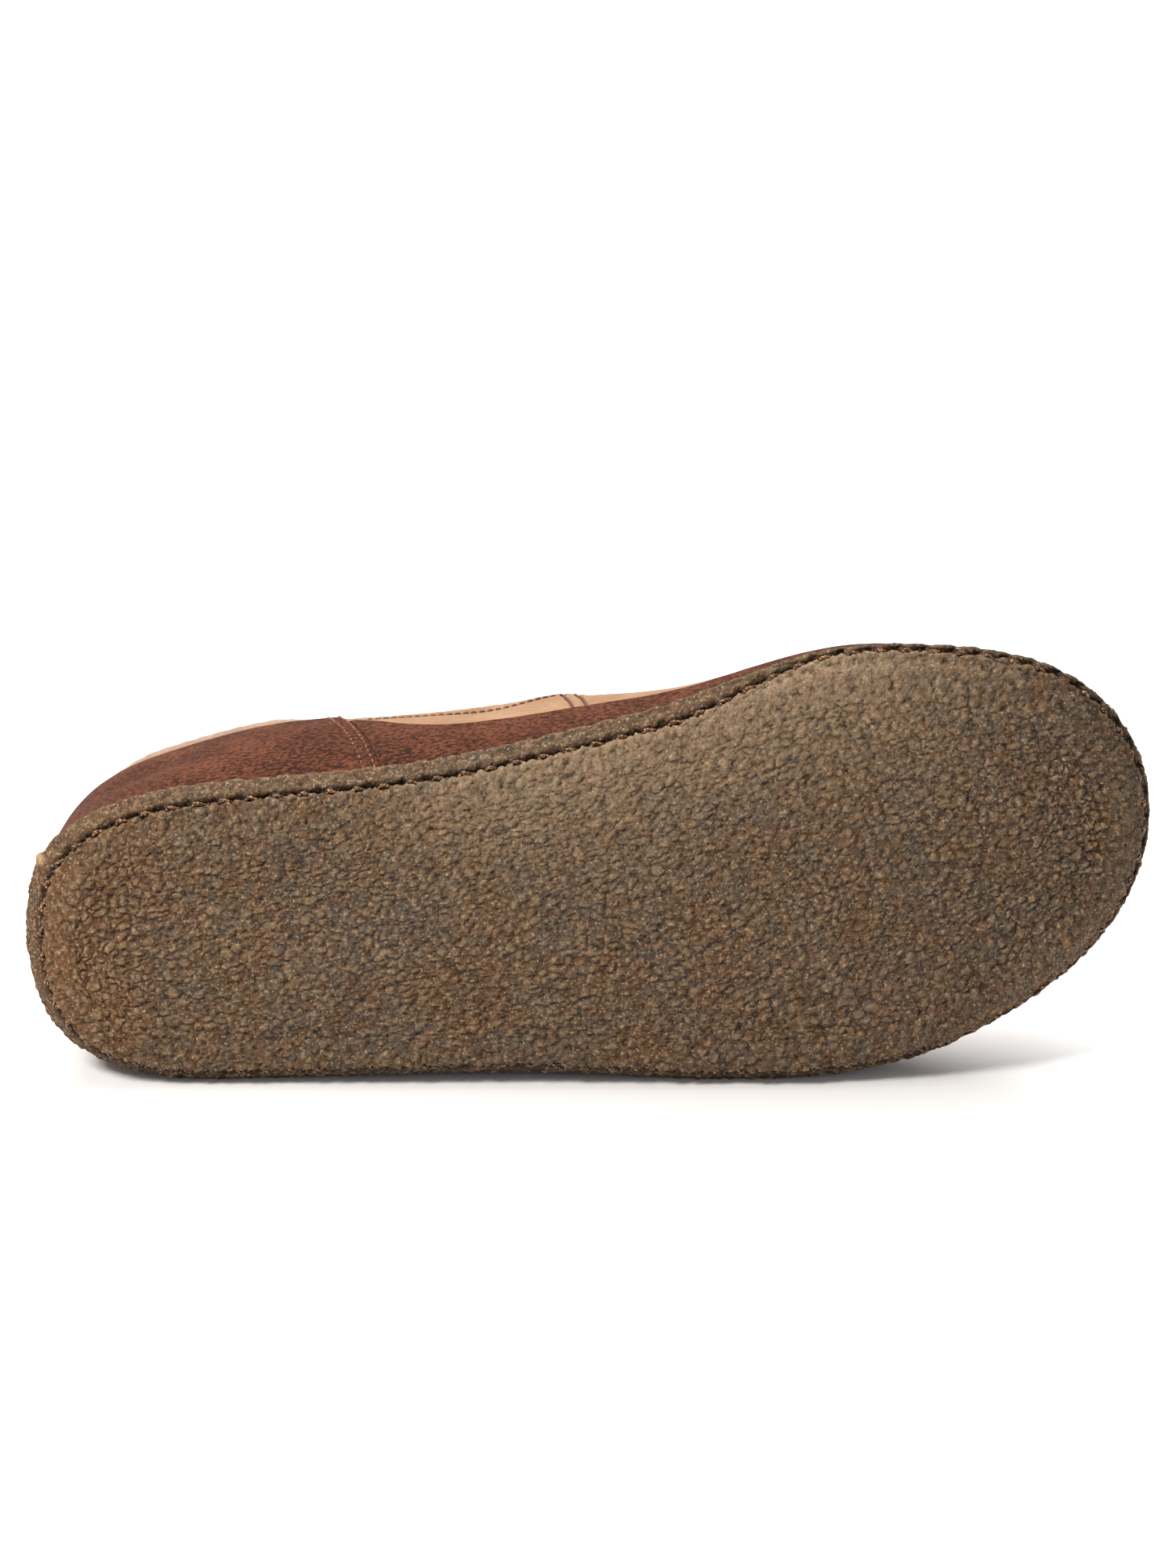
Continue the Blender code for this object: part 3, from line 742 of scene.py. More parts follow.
def washed(tree: bpy.types.NodeTree, body: str, layers: Layers) -> Socket:
    """A body colour that others are washed over, in order.

    Args:
        tree: The material's node tree.
        body: The body colour, as a hex value.
        layers: For each wash its colour, the pattern that says where it lies, and the pattern's
            values at which it starts and is fullest, with its fullest share.

    Returns:
        The washed tint.
    """
    tint = linear(body)
    for colour, pattern, (start, full, share) in layers:
        reach = {"Value": pattern, "From Min": start, "From Max": full, "To Max": share}
        mask = add_node(tree, "MapRange", {}, reach)
        tint = add_node(tree, "MixRGB", {}, {"Fac": mask, "Color1": tint, "Color2": linear(colour)})
    return tint


def new_material(name: str, settings: dict) -> tuple[bpy.types.Material, bpy.types.NodeTree, Socket]:
    """A material with its shader's constant values set.

    Args:
        name: The material's name.
        settings: Values for the shader's inputs, by name.

    Returns:
        The material, its node tree and its own place in the piece's space.
    """
    material = bpy.data.materials.new(name)
    material.use_nodes = True
    for key, value in settings.items():
        material.node_tree.nodes["Principled BSDF"].inputs[key].default_value = value
    return material, material.node_tree, add_node(material.node_tree, "TexCoord", {"output": "Object"}, {})


def dress(tree: bpy.types.NodeTree, **sockets: Socket) -> None:
    """Links a material's tint and bump, named Base_Color and Normal, to its shader."""
    for name, socket in sockets.items():
        tree.links.new(socket, tree.nodes["Principled BSDF"].inputs[name.replace("_", " ")])


@dataclass(frozen=True)
class CrepeRubber:
    """Crepe rubber, milled in a crumbly sheet and left raw: matt, woolly pebbles, with shade painted into
    their pits.
    """

    body: str = "604A37"
    green: str = "545048"
    orange: str = "6E4A2A"
    # Painted highlight: the paler tone of the crumbs' raised crowns.
    crown: str = "907658"
    # Painted light: the paler tone along the arch.
    arch_light: str = "A38A6D"
    lip: str = "5A4531"
    # Painted shade: the darker tone of the lip's side that faces the floor.
    underside_shade: str = "2C2018"
    # Painted shade: the dark tone of the pits between crumbs and of the crease, also used for dark specks.
    pit_shade_and_speck: str = "1A110B"
    # Painted glint: the tone of small pale flecks.
    glint_fleck: str = "BCA684"
    nub: str = "B08E6A"
    patch_mm: float = 20.0
    drift_mm: float = 2.4
    crumb_mm: float = 3.2
    wool_mm: float = 1.0
    fleck_mm: float = 0.7
    fibre_mm: float = 0.6

    def make(self) -> bpy.types.Material:
        """Crumbs of several tones, painted light and shade, flecks and a fine woolly bump.

        Returns:
            The material.
        """
        shine = {"Roughness": 0.88, "IOR": 1.52, "Specular IOR Level": 0.3}
        material, tree, place = new_material("crepe_rubber_raw", shine)
        # Flecks about 0.2 mm wide would be too fine for the picture, so they are drawn coarser: the pale ones
        # are painted glints.
        patch, wool, flecks, fibre = (
            add_node(
                tree,
                "TexNoise",
                {},
                {"Vector": place, "Scale": per_metre(size), "Detail": detail, "Roughness": rough},
            )
            for size, detail, rough in (
                (self.patch_mm, 3.0, 0.5),
                (self.wool_mm, 3.0, 0.65),
                (self.fleck_mm, 1.0, 0.5),
                (self.fibre_mm, 3.0, 0.6),
            )
        )
        # Each crumb of the milled sheet keeps its own tone.
        drift = {"Vector": place, "Scale": per_metre(self.drift_mm), "Detail": 2.0}
        drift = add_node(tree, "TexNoise", {"output": "Color"}, drift)
        bent = {0: drift, 1: (2.2 * MM,) * 3, 2: place}
        bent = add_node(tree, "VectorMath", {"operation": "MULTIPLY_ADD"}, bent)
        crumb = {"Vector": bent, "Scale": per_metre(self.crumb_mm)}
        crumb = add_node(tree, "TexVoronoi", {"output": "Color"}, crumb)
        ahead = add_node(tree, "SeparateXYZ", {"output": "X"}, {0: place})
        lip, height, arch = (
            add_node(tree, "Attribute", {"attribute_name": name, "output": "Fac"}, {})
            for name in ("lip", "crumb", "arch")
        )
        # The crumbs' heights with a woolly wobble, which place the painted highlights and shade.
        shading_height = add_node(tree, "Math", {"operation": "MULTIPLY_ADD"}, {0: wool, 1: 0.7, 2: height})
        layers = (
            (self.green, patch, (0.52, 0.36, 0.25)),
            (self.orange, patch, (0.52, 0.70, 0.25)),
            (self.green, crumb, (0.46, 0.28, 0.35)),
            (self.orange, crumb, (0.56, 0.76, 0.28)),
            # The heel's end has gone tan with wear, as the mesh's own X says.
            (self.orange, ahead, (-0.100, -0.150, 0.75)),
            (self.lip, lip, (0.0, 1.0, 0.5)),
            # Painted shade: the lip is made darker where its values pass 1, on the side that faces the floor.
            (self.underside_shade, lip, (1.0, 2.0, 0.65)),
            # Painted highlight: the crumbs' high crowns are made paler, as if lit.
            (self.crown, shading_height, (1.00, 1.40, 0.75)),
            # Painted light: the tread is paler along the arch's inner edge, where the real sole curves up
            # into the top light.
            (self.arch_light, arch, (0.0, 1.0, 0.48)),
            # Painted shade: the low pits between crumbs, and the crease, are made darker.
            (self.pit_shade_and_speck, shading_height, (0.92, 0.42, 0.87)),
            # Painted glints: small pale flecks.
            (self.glint_fleck, flecks, (0.58, 0.76, 0.6)),
            (self.pit_shade_and_speck, flecks, (0.42, 0.26, 0.5)),
            (self.nub, height, (1.2, 1.7, 0.8)),
        )
        bump = add_node(tree, "Bump", {}, {"Strength": 1.0, "Distance": 0.55 * MM, "Height": wool})
        bump = {"Strength": 0.7, "Distance": 0.2 * MM, "Height": fibre, "Normal": bump}
        dress(tree, Base_Color=washed(tree, self.body, layers), Normal=add_node(tree, "Bump", {}, bump))
        return material


@dataclass(frozen=True)
class Suede:
    """Split hide, buffed to a short nap: no gloss, brushed patches and a fine streaky speckle."""

    name: str
    body: str
    brushed: str
    shadow: str
    sheen: float = 0.15
    patch_mm: float = 15.0
    speckle_mm: float = 0.8
    nap_mm: float = 0.5
    streak: float = 0.6
    contrast: float = 0.5
    reach: tuple[float, float] = (0.36, 0.66)

    def make(self) -> bpy.types.Material:
        """Brushed patches, a speckle drawn out along the shoe, and the nap's bump.

        Returns:
            The material.
        """
        shine = {"Roughness": 0.95, "Specular IOR Level": 0.2, "Sheen Roughness": 0.5}
        shine |= {"Sheen Weight": self.sheen, "Sheen Tint": linear(self.brushed)}
        material, tree, place = new_material(self.name, shine)
        drawn = {0: place, 1: (self.streak, 1.0, 1.0)}
        drawn = add_node(tree, "VectorMath", {"operation": "MULTIPLY"}, drawn)
        # A nap's real speckle is about 0.2 mm wide, and it is drawn coarser so that it shows.
        patch, speckle, nap = (
            add_node(
                tree,
                "TexNoise",
                {},
                {"Vector": vector, "Scale": per_metre(size), "Detail": detail, "Roughness": rough},
            )
            for vector, size, detail, rough in (
                (place, self.patch_mm, 4.0, 0.6),
                (drawn, self.speckle_mm, 3.0, 0.7),
                (drawn, self.nap_mm, 3.0, 0.5),
            )
        )
        layers = (
            (self.brushed, patch, (0.40, 0.66, 0.9)),
            (self.shadow, speckle, (0.52, self.reach[0], self.contrast)),
            (self.brushed, speckle, (0.52, self.reach[1], self.contrast)),
        )
        bump = add_node(tree, "Bump", {}, {"Strength": 0.7, "Distance": 0.3 * MM, "Height": nap})
        dress(tree, Base_Color=washed(tree, self.body, layers), Normal=bump)
        return material


@dataclass(frozen=True)
class Thread:
    """Polyester thread, twisted and waxed: a tight dark cord, with small satin glints painted into its
    colour.
    """

    name: str
    body: str
    # Painted glint: the paler tone washed over the cord in small patches.
    glint_tone: str
    roughness: float = 0.42
    coat: float = 0.2
    fibre_mm: float = 0.6

    def make(self) -> bpy.types.Material:
        """A cord with painted glints: a paler tone washed over its body in small patches.

        Returns:
            The material.
        """
        shine = {"Roughness": self.roughness, "Coat Weight": self.coat, "Coat Roughness": 0.3}
        material, tree, place = new_material(self.name, shine)
        # Painted glints: a paler tone in small patches over the cord.
        glint_tone = {"Vector": place, "Scale": per_metre(self.fibre_mm), "Detail": 2.0}
        glint_tone = add_node(tree, "TexNoise", {}, glint_tone)
        dress(tree, Base_Color=washed(tree, self.body, ((self.glint_tone, glint_tone, (0.45, 0.65, 1.0)),)))
        return material


class Finishes(Enum):
    """The finishes of the slipper's pieces."""

    CREPE = CrepeRubber()
    BROWN = Suede(
        "brown_suede_buffed", "4A291A", "6C3E2A", "1C0D08", speckle_mm=0.8, contrast=0.85, reach=(0.41, 0.62)
    )
    TAN = Suede("tan_suede_buffed", "987559", "AB896C", "775842", contrast=0.35)
    BINDING = Suede("collar_suede_rolled", "9C826F", "B09683", "7A6150", contrast=0.35)
    LINING = Suede("lining_suede_brushed", "BE9872", "CFAC88", "9F7853", sheen=0.2, contrast=0.3)
    FELT = Suede("footbed_wool_felted", "B9A88F", "C8B8A0", "9A886D", sheen=0.4, nap_mm=1.1, contrast=0.35)
    SOLE_THREAD = Thread("sole_thread_waxed", "2C1B13", "B98352")
    BROWN_THREAD = Thread("brown_thread_twisted", "6A3E2C", "9A6850", roughness=0.85, coat=0.0)
    TAN_THREAD = Thread("tan_thread_twisted", "8A5A30", "B07C4C", roughness=0.6)
    DARK_THREAD = Thread("dark_thread_twisted", "4A2A1C", "7A4A30", roughness=0.6)


MATERIALS: dict[Finishes, bpy.types.Material] = {}


def material_of(finish: Finishes) -> bpy.types.Material:
    """The finish's material, made once.

    Args:
        finish: The finish.

    Returns:
        Its material.
    """
    if finish not in MATERIALS:
        MATERIALS[finish] = finish.value.make()
    return MATERIALS[finish]


def tube(centres: Array, radii: Array, across: Array, sides: int) -> tuple[Array, Faces]:
    """A closed tube along a line.

    Args:
        centres: The line's points.
        radii: The tube's radius at each of them.
        across: For each point, a direction that never runs along the line.
        sides: How many sides the tube has.

    Returns:
        Its points and faces.
    """
    ahead = unit(np.gradient(centres, axis=0))
    side = unit(np.cross(ahead, across))
    up = np.cross(side, ahead)
    angle = np.arange(sides) * 2 * math.pi / sides
    spread = side[:, None] * np.cos(angle)[None, :, None] + up[:, None] * np.sin(angle)[None, :, None]
    points = (centres[:, None] + spread * radii[:, None, None]).reshape(-1, 3)
    ends = [tuple(range(sides))[::-1], tuple(range(len(points) - sides, len(points)))]
    return points, grid_faces(len(centres), sides, closed=True) + ends


def rounded(count: int) -> Array:
    """Shares of a thread's radius along a stitch, which close to a round end at both ends."""
    return np.clip(1 - np.linspace(-1, 1, count) ** 8, 0.05, 1) ** 0.5


@dataclass
class CrepeSole:
    """The crepe sheet: its crumbly tread, the sewn-in crease and the lip turned up outside it."""

    last: Last
    stations: int = 480
    cells_across: int = 200
    sheet: float = 5.0 * MM
    seam_height: float = 2.2 * MM
    seam_depth: float = 0.6 * MM
    edge_rounding: float = 6.0 * MM
    lip_width: float = 5.6 * MM
    lip_thickness: float = 2.6 * MM
    lean: float = math.radians(50)
    stitch_pitch: float = 7.0 * MM
    crease_depth: float = 2.1 * MM
    crease_breadth: float = 0.80 * MM
    pillow_height: float = 0.40 * MM
    scallop: float = 0.8 * MM
    edge_wave: float = 0.5 * MM
    toe_shift: float = 4.1 * MM
    corner_at: float = 18.4 * MM
    corner_size: float = 1.3 * MM
    end_reach: float = 1.0 * MM
    pebble: float = 2.1 * MM
    crumb: float = 1.3 * MM
    crumb_height: float = 1.7 * MM
    swell_height: float = 0.22 * MM
    backing: float = 1.5 * MM
    backing_cells: int = 6
    crumb_level: float = 0.62
    weave: float = math.radians(38)
    arch_light_breadth: float = 26 * MM

    # How far the edge's rows of points lie from the crease, in millimetres.
    BESIDE_CREASE = (2.9, 2.3, 1.85, 1.45, 1.1, 0.82, 0.6, 0.42, 0.28, 0.14)

    def __post_init__(self) -> None:
        """Works out the edge's profile, with its distance from the seam along it."""
        self.turns = both_sides(np.linspace(0, 0.5, self.stations + 1))
        self.length = self.last.reaches[-1]
        self.stitches = round(self.length / self.stitch_pitch)
        lip = np.array([math.cos(self.lean), math.sin(self.lean)])
        face = np.array([-lip[1], lip[0]])
        seam = np.array([-self.seam_depth, self.seam_height])
        table = np.array([(-1.7, 0.0), (-1.3, 0.0), (-1.0, 0.01), (-0.5, 0.14), (-0.22, 0.5)])
        table = table * (self.edge_rounding, self.seam_height)
        tread = np.concatenate([table, [seam]])
        walked = walk(tread)
        tread = smooth_line(walked, tread, np.linspace(0, walked[-1], 60))
        tip = lip * self.lip_width + (0, self.seam_height)
        rising = seam + (tip - seam) * np.linspace(0, 1, 60)[1:-1, None]
        radius = self.lip_thickness / 2
        angle = np.linspace(-math.pi / 2, math.pi / 2, 40)[:, None]
        end = tip - lip * radius + face * radius + radius * (lip * np.cos(angle) + face * np.sin(angle))
        foot = (self.sheet - self.seam_height) / math.tan(self.lean) - self.lip_thickness / lip[1]
        back = end[-1] + (np.array([foot, self.sheet]) - end[-1]) * np.linspace(0, 1, 20)[1:, None]
        rising = rising[(rising - end[0]) @ lip < 0]
        self.profile = np.concatenate([tread, rising, end, back])
        walked = walk(self.profile)
        self.from_seam = walked - walked[len(tread) - 1]
        self.tip_from_seam = self.from_seam[len(tread) + len(rising)]
        ahead = np.gradient(self.profile, axis=0)
        self.outwards = unit(np.stack([ahead[:, 1], -ahead[:, 0]], axis=1))
        self.toe_side = self.crease_shift(self.turns)
        self.rows_from_seam = self.edge_rows()

    def crease_shift(self, turns: Array) -> Array:
        """How far out on the lip the crease lies: it climbs to the lip's edge round the toe.

        Args:
            turns: Where it is read.

        Returns:
            The crease's distance from the seam at each turn.
        """
        share = self.last.at_turns(self.last.seam, turns)[..., 0] / self.last.seam_length
        inner = ease(share, 0.58, 0.72)
        outer = ease(share, 0.70, 0.84)
        return self.toe_shift * np.where(np.mod(turns, 1.0) <= 0.5, inner, outer)

    def edge_rows(self) -> Array:
        """Spreads the edge's rows, closest together at the crease.

        Returns:
            How far from the seam each row lies, at each turn.
        """
        near = np.array(self.BESIDE_CREASE)[:, None] * MM
        room = np.clip((self.tip_from_seam - self.toe_side - 0.2 * MM) / near[3], 0, 1)
        start = self.from_seam[0]
        inside = start + (self.toe_side - near[0] - start) * np.linspace(0, 1, 15)[:-1, None]
        outside = self.toe_side + near[:2:-1] * room
        lip = outside[-1] + (self.tip_from_seam - outside[-1]) * np.linspace(0, 1, 8)[1:-1, None]
        round_end = self.tip_from_seam + math.pi / 2 * self.lip_thickness * np.linspace(0, 1, 7)[:, None]
        back = round_end[-1] + (self.from_seam[-1] - round_end[-1]) * np.linspace(0, 1, 4)[1:, None]
        ends = np.concatenate([round_end, back])
        ends = np.broadcast_to(ends, (len(ends), len(self.turns)))
        return np.concatenate([inside, self.toe_side - near, self.toe_side[None], outside, lip, ends])

    def on_profile(self, from_seam: Array) -> tuple[Array, ...]:
        """The edge's profile at distances from the seam: place out and up, and its normal."""
        columns = (*self.profile.T, *self.outwards.T)
        return tuple(np.interp(from_seam, self.from_seam, column) for column in columns)

    def phase(self, turns: Array) -> Array:
        """How many stitches lie between the heel and each turn."""
        return self.last.walked(turns) / self.length * self.stitches

    def arch(self, turns: Array) -> Array:
        """The pull of the stitches on the crease: 0 where one dives in, 1 halfway along it."""
        return np.abs(np.sin(math.pi * self.phase(turns))) ** 0.75

    def slant(self, turns: Array) -> Array:
        """How far the crease lies outside its own middle line, in a soft sawtooth."""
        share = np.mod(self.phase(turns), 1.0)
        return self.scallop * (np.minimum(share / 0.8, (1 - share) / 0.2) - 0.5)

    def gape(self) -> Array:
        """The share of its breadth that the crease has at each turn: less at the toe, more at the heel."""
        heel = ease(-self.last.facing(self.turns)[:, 0], 0.3, 0.9)
        return 1 - 0.4 * self.toe_side / self.toe_shift + 0.45 * heel

    def corner(self) -> Array:
        """Where the sheet's cut end sticks out of the lip by the heel: 1 there and 0 elsewhere."""
        return bell(self.last.walked(self.turns), self.corner_at, self.corner_size, 4)

    def crease(self, turns: Array, rise: Array) -> Array:
        """Points in the crease at turns, which rise out of its surface or, if negative, lie deep."""
        out, up, normal_out, normal_up = self.on_profile(self.crease_shift(turns) + self.slant(turns))
        return self.last.ring(turns, out + normal_out * rise, up + normal_up * rise)

    def rings(self) -> Array:
        """Shapes the edge, with its crease, pillows and wavy lip.

        Returns:
            Its points, row by row from the tread's flat to the foot of the lip inside.
        """
        arch = self.arch(self.turns)
        along = self.rows_from_seam
        near = along - self.toe_side - self.slant(self.turns)
        pull = 0.75 + 0.25 * arch
        rise = self.pillow_height * pull * bell(np.abs(near), 1.6 * MM, 1.0 * MM)
        rise -= self.crease_depth * pull * bell(near, 0, self.crease_breadth * self.gape())
        far = ease(along, 0.5 * self.tip_from_seam, self.tip_from_seam)
        far = far * (1 - ease(along, self.tip_from_seam + 0.6 * self.lip_thickness, self.from_seam[-1]))
        ends = self.last.facing(self.turns)[:, 0] ** 2
        wave = self.edge_wave * (arch - 0.6) * (1 - 0.5 * self.toe_side / self.toe_shift)
        wave = (wave + self.corner_size * self.corner() + self.end_reach * ends) * far
        out, up, normal_out, normal_up = self.on_profile(along)
        out = out + normal_out * rise + math.cos(self.lean) * wave
        up = up + normal_up * rise + math.sin(self.lean) * wave
        return np.stack([self.last.ring(self.turns, out[row], up[row]) for row in range(len(out))])

    def across(self, ring: Array, cells: int) -> Array:
        """Points in strips from a ring's inner to its outer side.

        Args:
            ring: The ring's points.
            cells: How many cells a strip has.

        Returns:
            The points between the ring's own.
        """
        share = np.arange(1, cells)[None, :, None] / cells
        near = ring[1 : self.stations, None]
        far = ring[: self.stations : -1, None]
        return (near * (1 - share) + far * share).reshape(-1, 3)

    def strips(self, first: int, following: int, cells: int) -> Faces:
        """Faces that fill a ring by way of the points between its sides.

        Args:
            first: The number of the ring's first point.
            following: The number of the first point between its sides.
            cells: How many cells a strip has.

        Returns:
            The faces.
        """
        stations = self.stations
        index = np.empty((stations - 1, cells + 1), int)
        index[:, 0] = first + np.arange(1, stations)
        index[:, 1:-1] = following + np.arange((stations - 1) * (cells - 1)).reshape(stations - 1, -1)
        index[:, -1] = first + 2 * stations - np.arange(1, stations)
        faces = quads(index[:-1, :-1], index[1:, :-1], index[1:, 1:], index[:-1, 1:])
        for row, end in ((0, first), (-1, first + stations)):
            order = zip(index[row, :-1].tolist(), index[row, 1:].tolist())
            faces += [(end, b, a) if row == 0 else (end, a, b) for a, b in order]
        return faces

    def body(self, rings: Array, low: Array, high: Array) -> tuple[Array, Faces]:
        """A closed body from rings and from the points that fill its lowest and its highest ring.

        Args:
            rings: The rings, from the lowest to the highest.
            low: Points across the lowest ring.
            high: Points across the highest ring.

        Returns:
            Its points and faces.
        """
        rows, count = rings.shape[:2]
        flat = rings.reshape(-1, 3)
        cells = [len(points) // (self.stations - 1) + 1 for points in (low, high)]
        faces = grid_faces(rows, count, closed=True)
        faces += [face[::-1] for face in self.strips(0, len(flat), cells[0])]
        faces += self.strips((rows - 1) * count, len(flat) + len(low), cells[1])
        return np.concatenate([flat, low, high]), faces

    def crumbs(self, points: Array) -> Array:
        """The height of the crumbly surface.

        Args:
            points: Points of the sheet.

        Returns:
            Its height at each, from 0 in the pits to 1 on the pebbles.
        """
        bent = points
        # Waves bend the crumbs out of line. Columns: how far, how broad, octaves, seeds.
        for far, size, octaves, seeds in (
            (0.8 * MM, 2.2 * MM, 2, (1, 2, 3)),
            (2.2 * MM, 16 * MM, 1, (4, 5, 6)),
        ):
            waves = [Grain(seed).waves(points, size, octaves) for seed in seeds]
            bent = bent + far * np.stack(waves, axis=1)
        cos, sin = math.cos(self.weave), math.sin(self.weave)
        along = bent[:, 0] * cos - bent[:, 1] * sin
        over = bent[:, 0] * sin + bent[:, 1] * cos
        bent = np.stack([0.75 * along, over, bent[:, 2]], axis=1)
        layers = []
        for seed, size in ((7, self.pebble), (8, self.crumb)):
            middle, border = Grain(seed).pebbles(bent, size)
            layers.append(0.55 * ease(border, 0.0, 0.42) + 0.45 * np.clip(1.1 - middle**2, 0, 1))
        depth = 0.62 + 0.16 * Grain(10).waves(points, 7 * MM, 2)
        fine = Grain(9).waves(points, 1.3 * MM, 2)
        return np.clip(depth * layers[0] + (1 - depth) * layers[1] + 0.14 * fine, 0, 1.15)

    def arch_light_share(self, points: Array) -> Array:
        """Where light is painted on the sheet, along the arch's inner edge.

        Args:
            points: Points of the sheet.

        Returns:
            1 for those along the arch, and less elsewhere.
        """
        inner = self.last.seam[: self.last.turns // 2]
        away = np.interp(points[:, 0], inner[:, 0], inner[:, 1]) + points[:, 1]
        share = points[:, 0] / self.last.seam_length
        return bell(away, 0, self.arch_light_breadth) * ease(share, 0.25, 0.46) * (1 - ease(share, 0.70, 0.95))

    def build(self) -> None:
        """Makes the tread and the sewn edge, which stand for the sole's solid."""
        rings = self.rings()
        rows, count = rings.shape[:2]
        tread = self.across(rings[0], self.cells_across)
        points, faces = self.body(rings, tread, self.across(rings[-1], self.backing_cells))
        crumbs = self.crumbs(points)
        near = (self.rows_from_seam - self.toe_side - self.slant(self.turns)).ravel()
        share = 1 - 0.50 * ease(near, -1.6 * MM, -0.3 * MM) + 0.10 * ease(near, 0.4 * MM, 1.4 * MM)
        tip = self.tip_from_seam
        share *= 1 - ease(self.rows_from_seam.ravel(), tip, tip + self.lip_thickness)
        lip = ease(near, 0.0, 0.8 * MM)
        facing = self.last.facing(self.turns)
        # Painted shade: past 1, the lip's values darken the lip on the shoe's outer side, which faces the
        # floor, and partly round the heel.
        underside_shade = 1 + np.maximum(ease(-facing[:, 1], 0.55, 0.9), 0.45 * ease(-facing[:, 0], 0.4, 0.9))
        lip = lip * np.tile(underside_shade, rows)
        pad = np.zeros(len(points) - len(near) - len(tread))
        share = np.concatenate([share, np.ones(len(tread)), pad])
        swell = self.swell_height * Grain(12).waves(points, 13 * MM, 2)
        rise = share * ((crumbs - self.crumb_level) * self.crumb_height + swell)
        raised = points + vertex_normals(points, faces) * rise[:, None]
        # Painted shade: the crease's middle is pulled down to near black, for the slit under the lip that
        # lies in shadow.
        dark = 1 - 0.97 * bell(near, 0, 0.95 * self.crease_breadth * np.tile(self.gape(), rows), 4)
        tone = np.concatenate([(0.08 + 0.87 * crumbs[: len(near)]) * dark, crumbs[len(near) :]])
        tone[: len(near)] = np.where(near < -1.5 * MM, crumbs[: len(near)], tone[: len(near)])
        tone[: len(near)] += 1.1 * np.tile(self.corner(), rows) * ease(near, 2.5 * MM, 4.0 * MM)
        outer = raised[: len(near)].reshape(rows, count, 3)
        inside = outer[0] + (0, 0, self.backing)
        backing = self.across(inside, self.backing_cells)
        flat = slice(len(near), len(near) + len(tread))
        for name, own_rings, low, high, tones, lips in (
            (
                "crepe_tread",
                np.stack([outer[0], inside]),
                raised[flat],
                backing,
                (tone[:count], np.zeros(count), tone[flat], np.zeros(len(backing))),
                (lip[:count],),
            ),
            (
                "crepe_edge",
                np.concatenate([inside[None], outer]),
                backing,
                raised[flat.stop :],
                (np.zeros(count), tone[: len(near)], np.zeros(len(backing)), tone[flat.stop :]),
                (np.zeros(count), lip),
            ),
        ):
            own_points, own_faces = self.body(own_rings, low, high)
            piece = Pile().add(own_points, own_faces).piece(name, "crepe_rubber", Finishes.CREPE)
            # The crumb values carry the crumbs' heights, which the material paints as lit crowns and shaded
            # pits, with the crease's painted shade and the cut end's tone.
            write_values(piece, "crumb", np.concatenate(tones))
            lips = np.concatenate(lips)
            lips = np.concatenate([lips, np.zeros(len(own_points) - len(lips))])
            # The lip values mark the lip, and past 1 its painted shade.
            write_values(piece, "lip", lips)
            # The arch values mark where light is painted along the arch, off the lip.
            write_values(piece, "arch", self.arch_light_share(own_points) * (1 - np.minimum(lips, 1)))
            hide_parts("outsole")


@dataclass
class SoleThread:
    """The coarse two-ply thread that sews upper and sole together in the crease."""

    sole: CrepeSole
    ply: float = 0.31 * MM
    twist: float = 2.3 * MM
    points_a_stitch: int = 26
    sides: int = 6

    # Columns: share of the stitch, height over the crease's own surface in millimetres. Each
    # stitch comes up out of the sheet, shows its twist and sinks into the crease.
    ROUTE = (
        (-0.16, -2.6),
        (-0.07, -0.9),
        (0.02, 0.10),
        (0.11, 0.15),
        (0.20, -0.25),
        (0.32, -1.0),
        (0.48, -2.0),
        (0.64, -2.6),
    )

    def build(self) -> None:
        """Makes all its stitches as one piece."""
        pile = Pile()
        last = self.sole.last
        route = np.array(self.ROUTE)
        share = np.linspace(route[0, 0], route[-1, 0], self.points_a_stitch)
        rise = natural_spline(route[:, 0], route[:, 1], share) * MM
        for stitch in range(self.sole.stitches):
            turns = last.turns_at((stitch + share) / self.sole.stitches * self.sole.length)
            centre = self.sole.crease(turns, rise)
            out = unit(self.sole.crease(turns, rise + MM) - centre)
            side = unit(np.cross(np.gradient(centre, axis=0), out))
            walked = walk(centre)
            for ply in (0, 1):
                angle = (2 * math.pi * walked / self.twist + math.pi * ply)[:, None]
                line = centre + self.ply * (out * np.cos(angle) + side * np.sin(angle))
                pile.add(*tube(line, self.ply * rounded(len(line)), out, self.sides))
        pile.piece("sole_thread", "crepe_rubber", Finishes.SOLE_THREAD)


@dataclass
class StitchRow:
    """A row of stitches that lies on the suede along a line of turns and levels."""

    last: Last
    pitch: float
    length: float
    thread: float
    points: int = 7
    sides: int = 6

    def sew(self, pile: Pile, turns: Array, levels: Array, out: Array) -> None:
        """Adds the row's stitches to a pile.

        Args:
            pile: What takes them.
            turns: The line's turns.
            levels: The line's levels.
            out: How far outside the last the suede's surface is there.
        """
        line = self.last.skin(turns, levels, out)
        walked = walk(line)
        share = np.linspace(0, 1, self.points)
        rise = self.thread * (1.5 * np.sin(math.pi * share) - 0.7)
        for start in np.arange(self.pitch / 2, walked[-1] - self.length, self.pitch):
            place = start + share * self.length
            turn, level, far = (np.interp(place, walked, column) for column in (turns, levels, out))
            base = self.last.skin(turn, level, far)
            base_out = unit(self.last.skin(turn, level, far + MM) - base)
            relief = self.last.relief(base)[:, None]
            centre = base + base_out * (relief + rise[:, None])
            pile.add(*tube(centre, self.thread * rounded(self.points), base_out, self.sides))


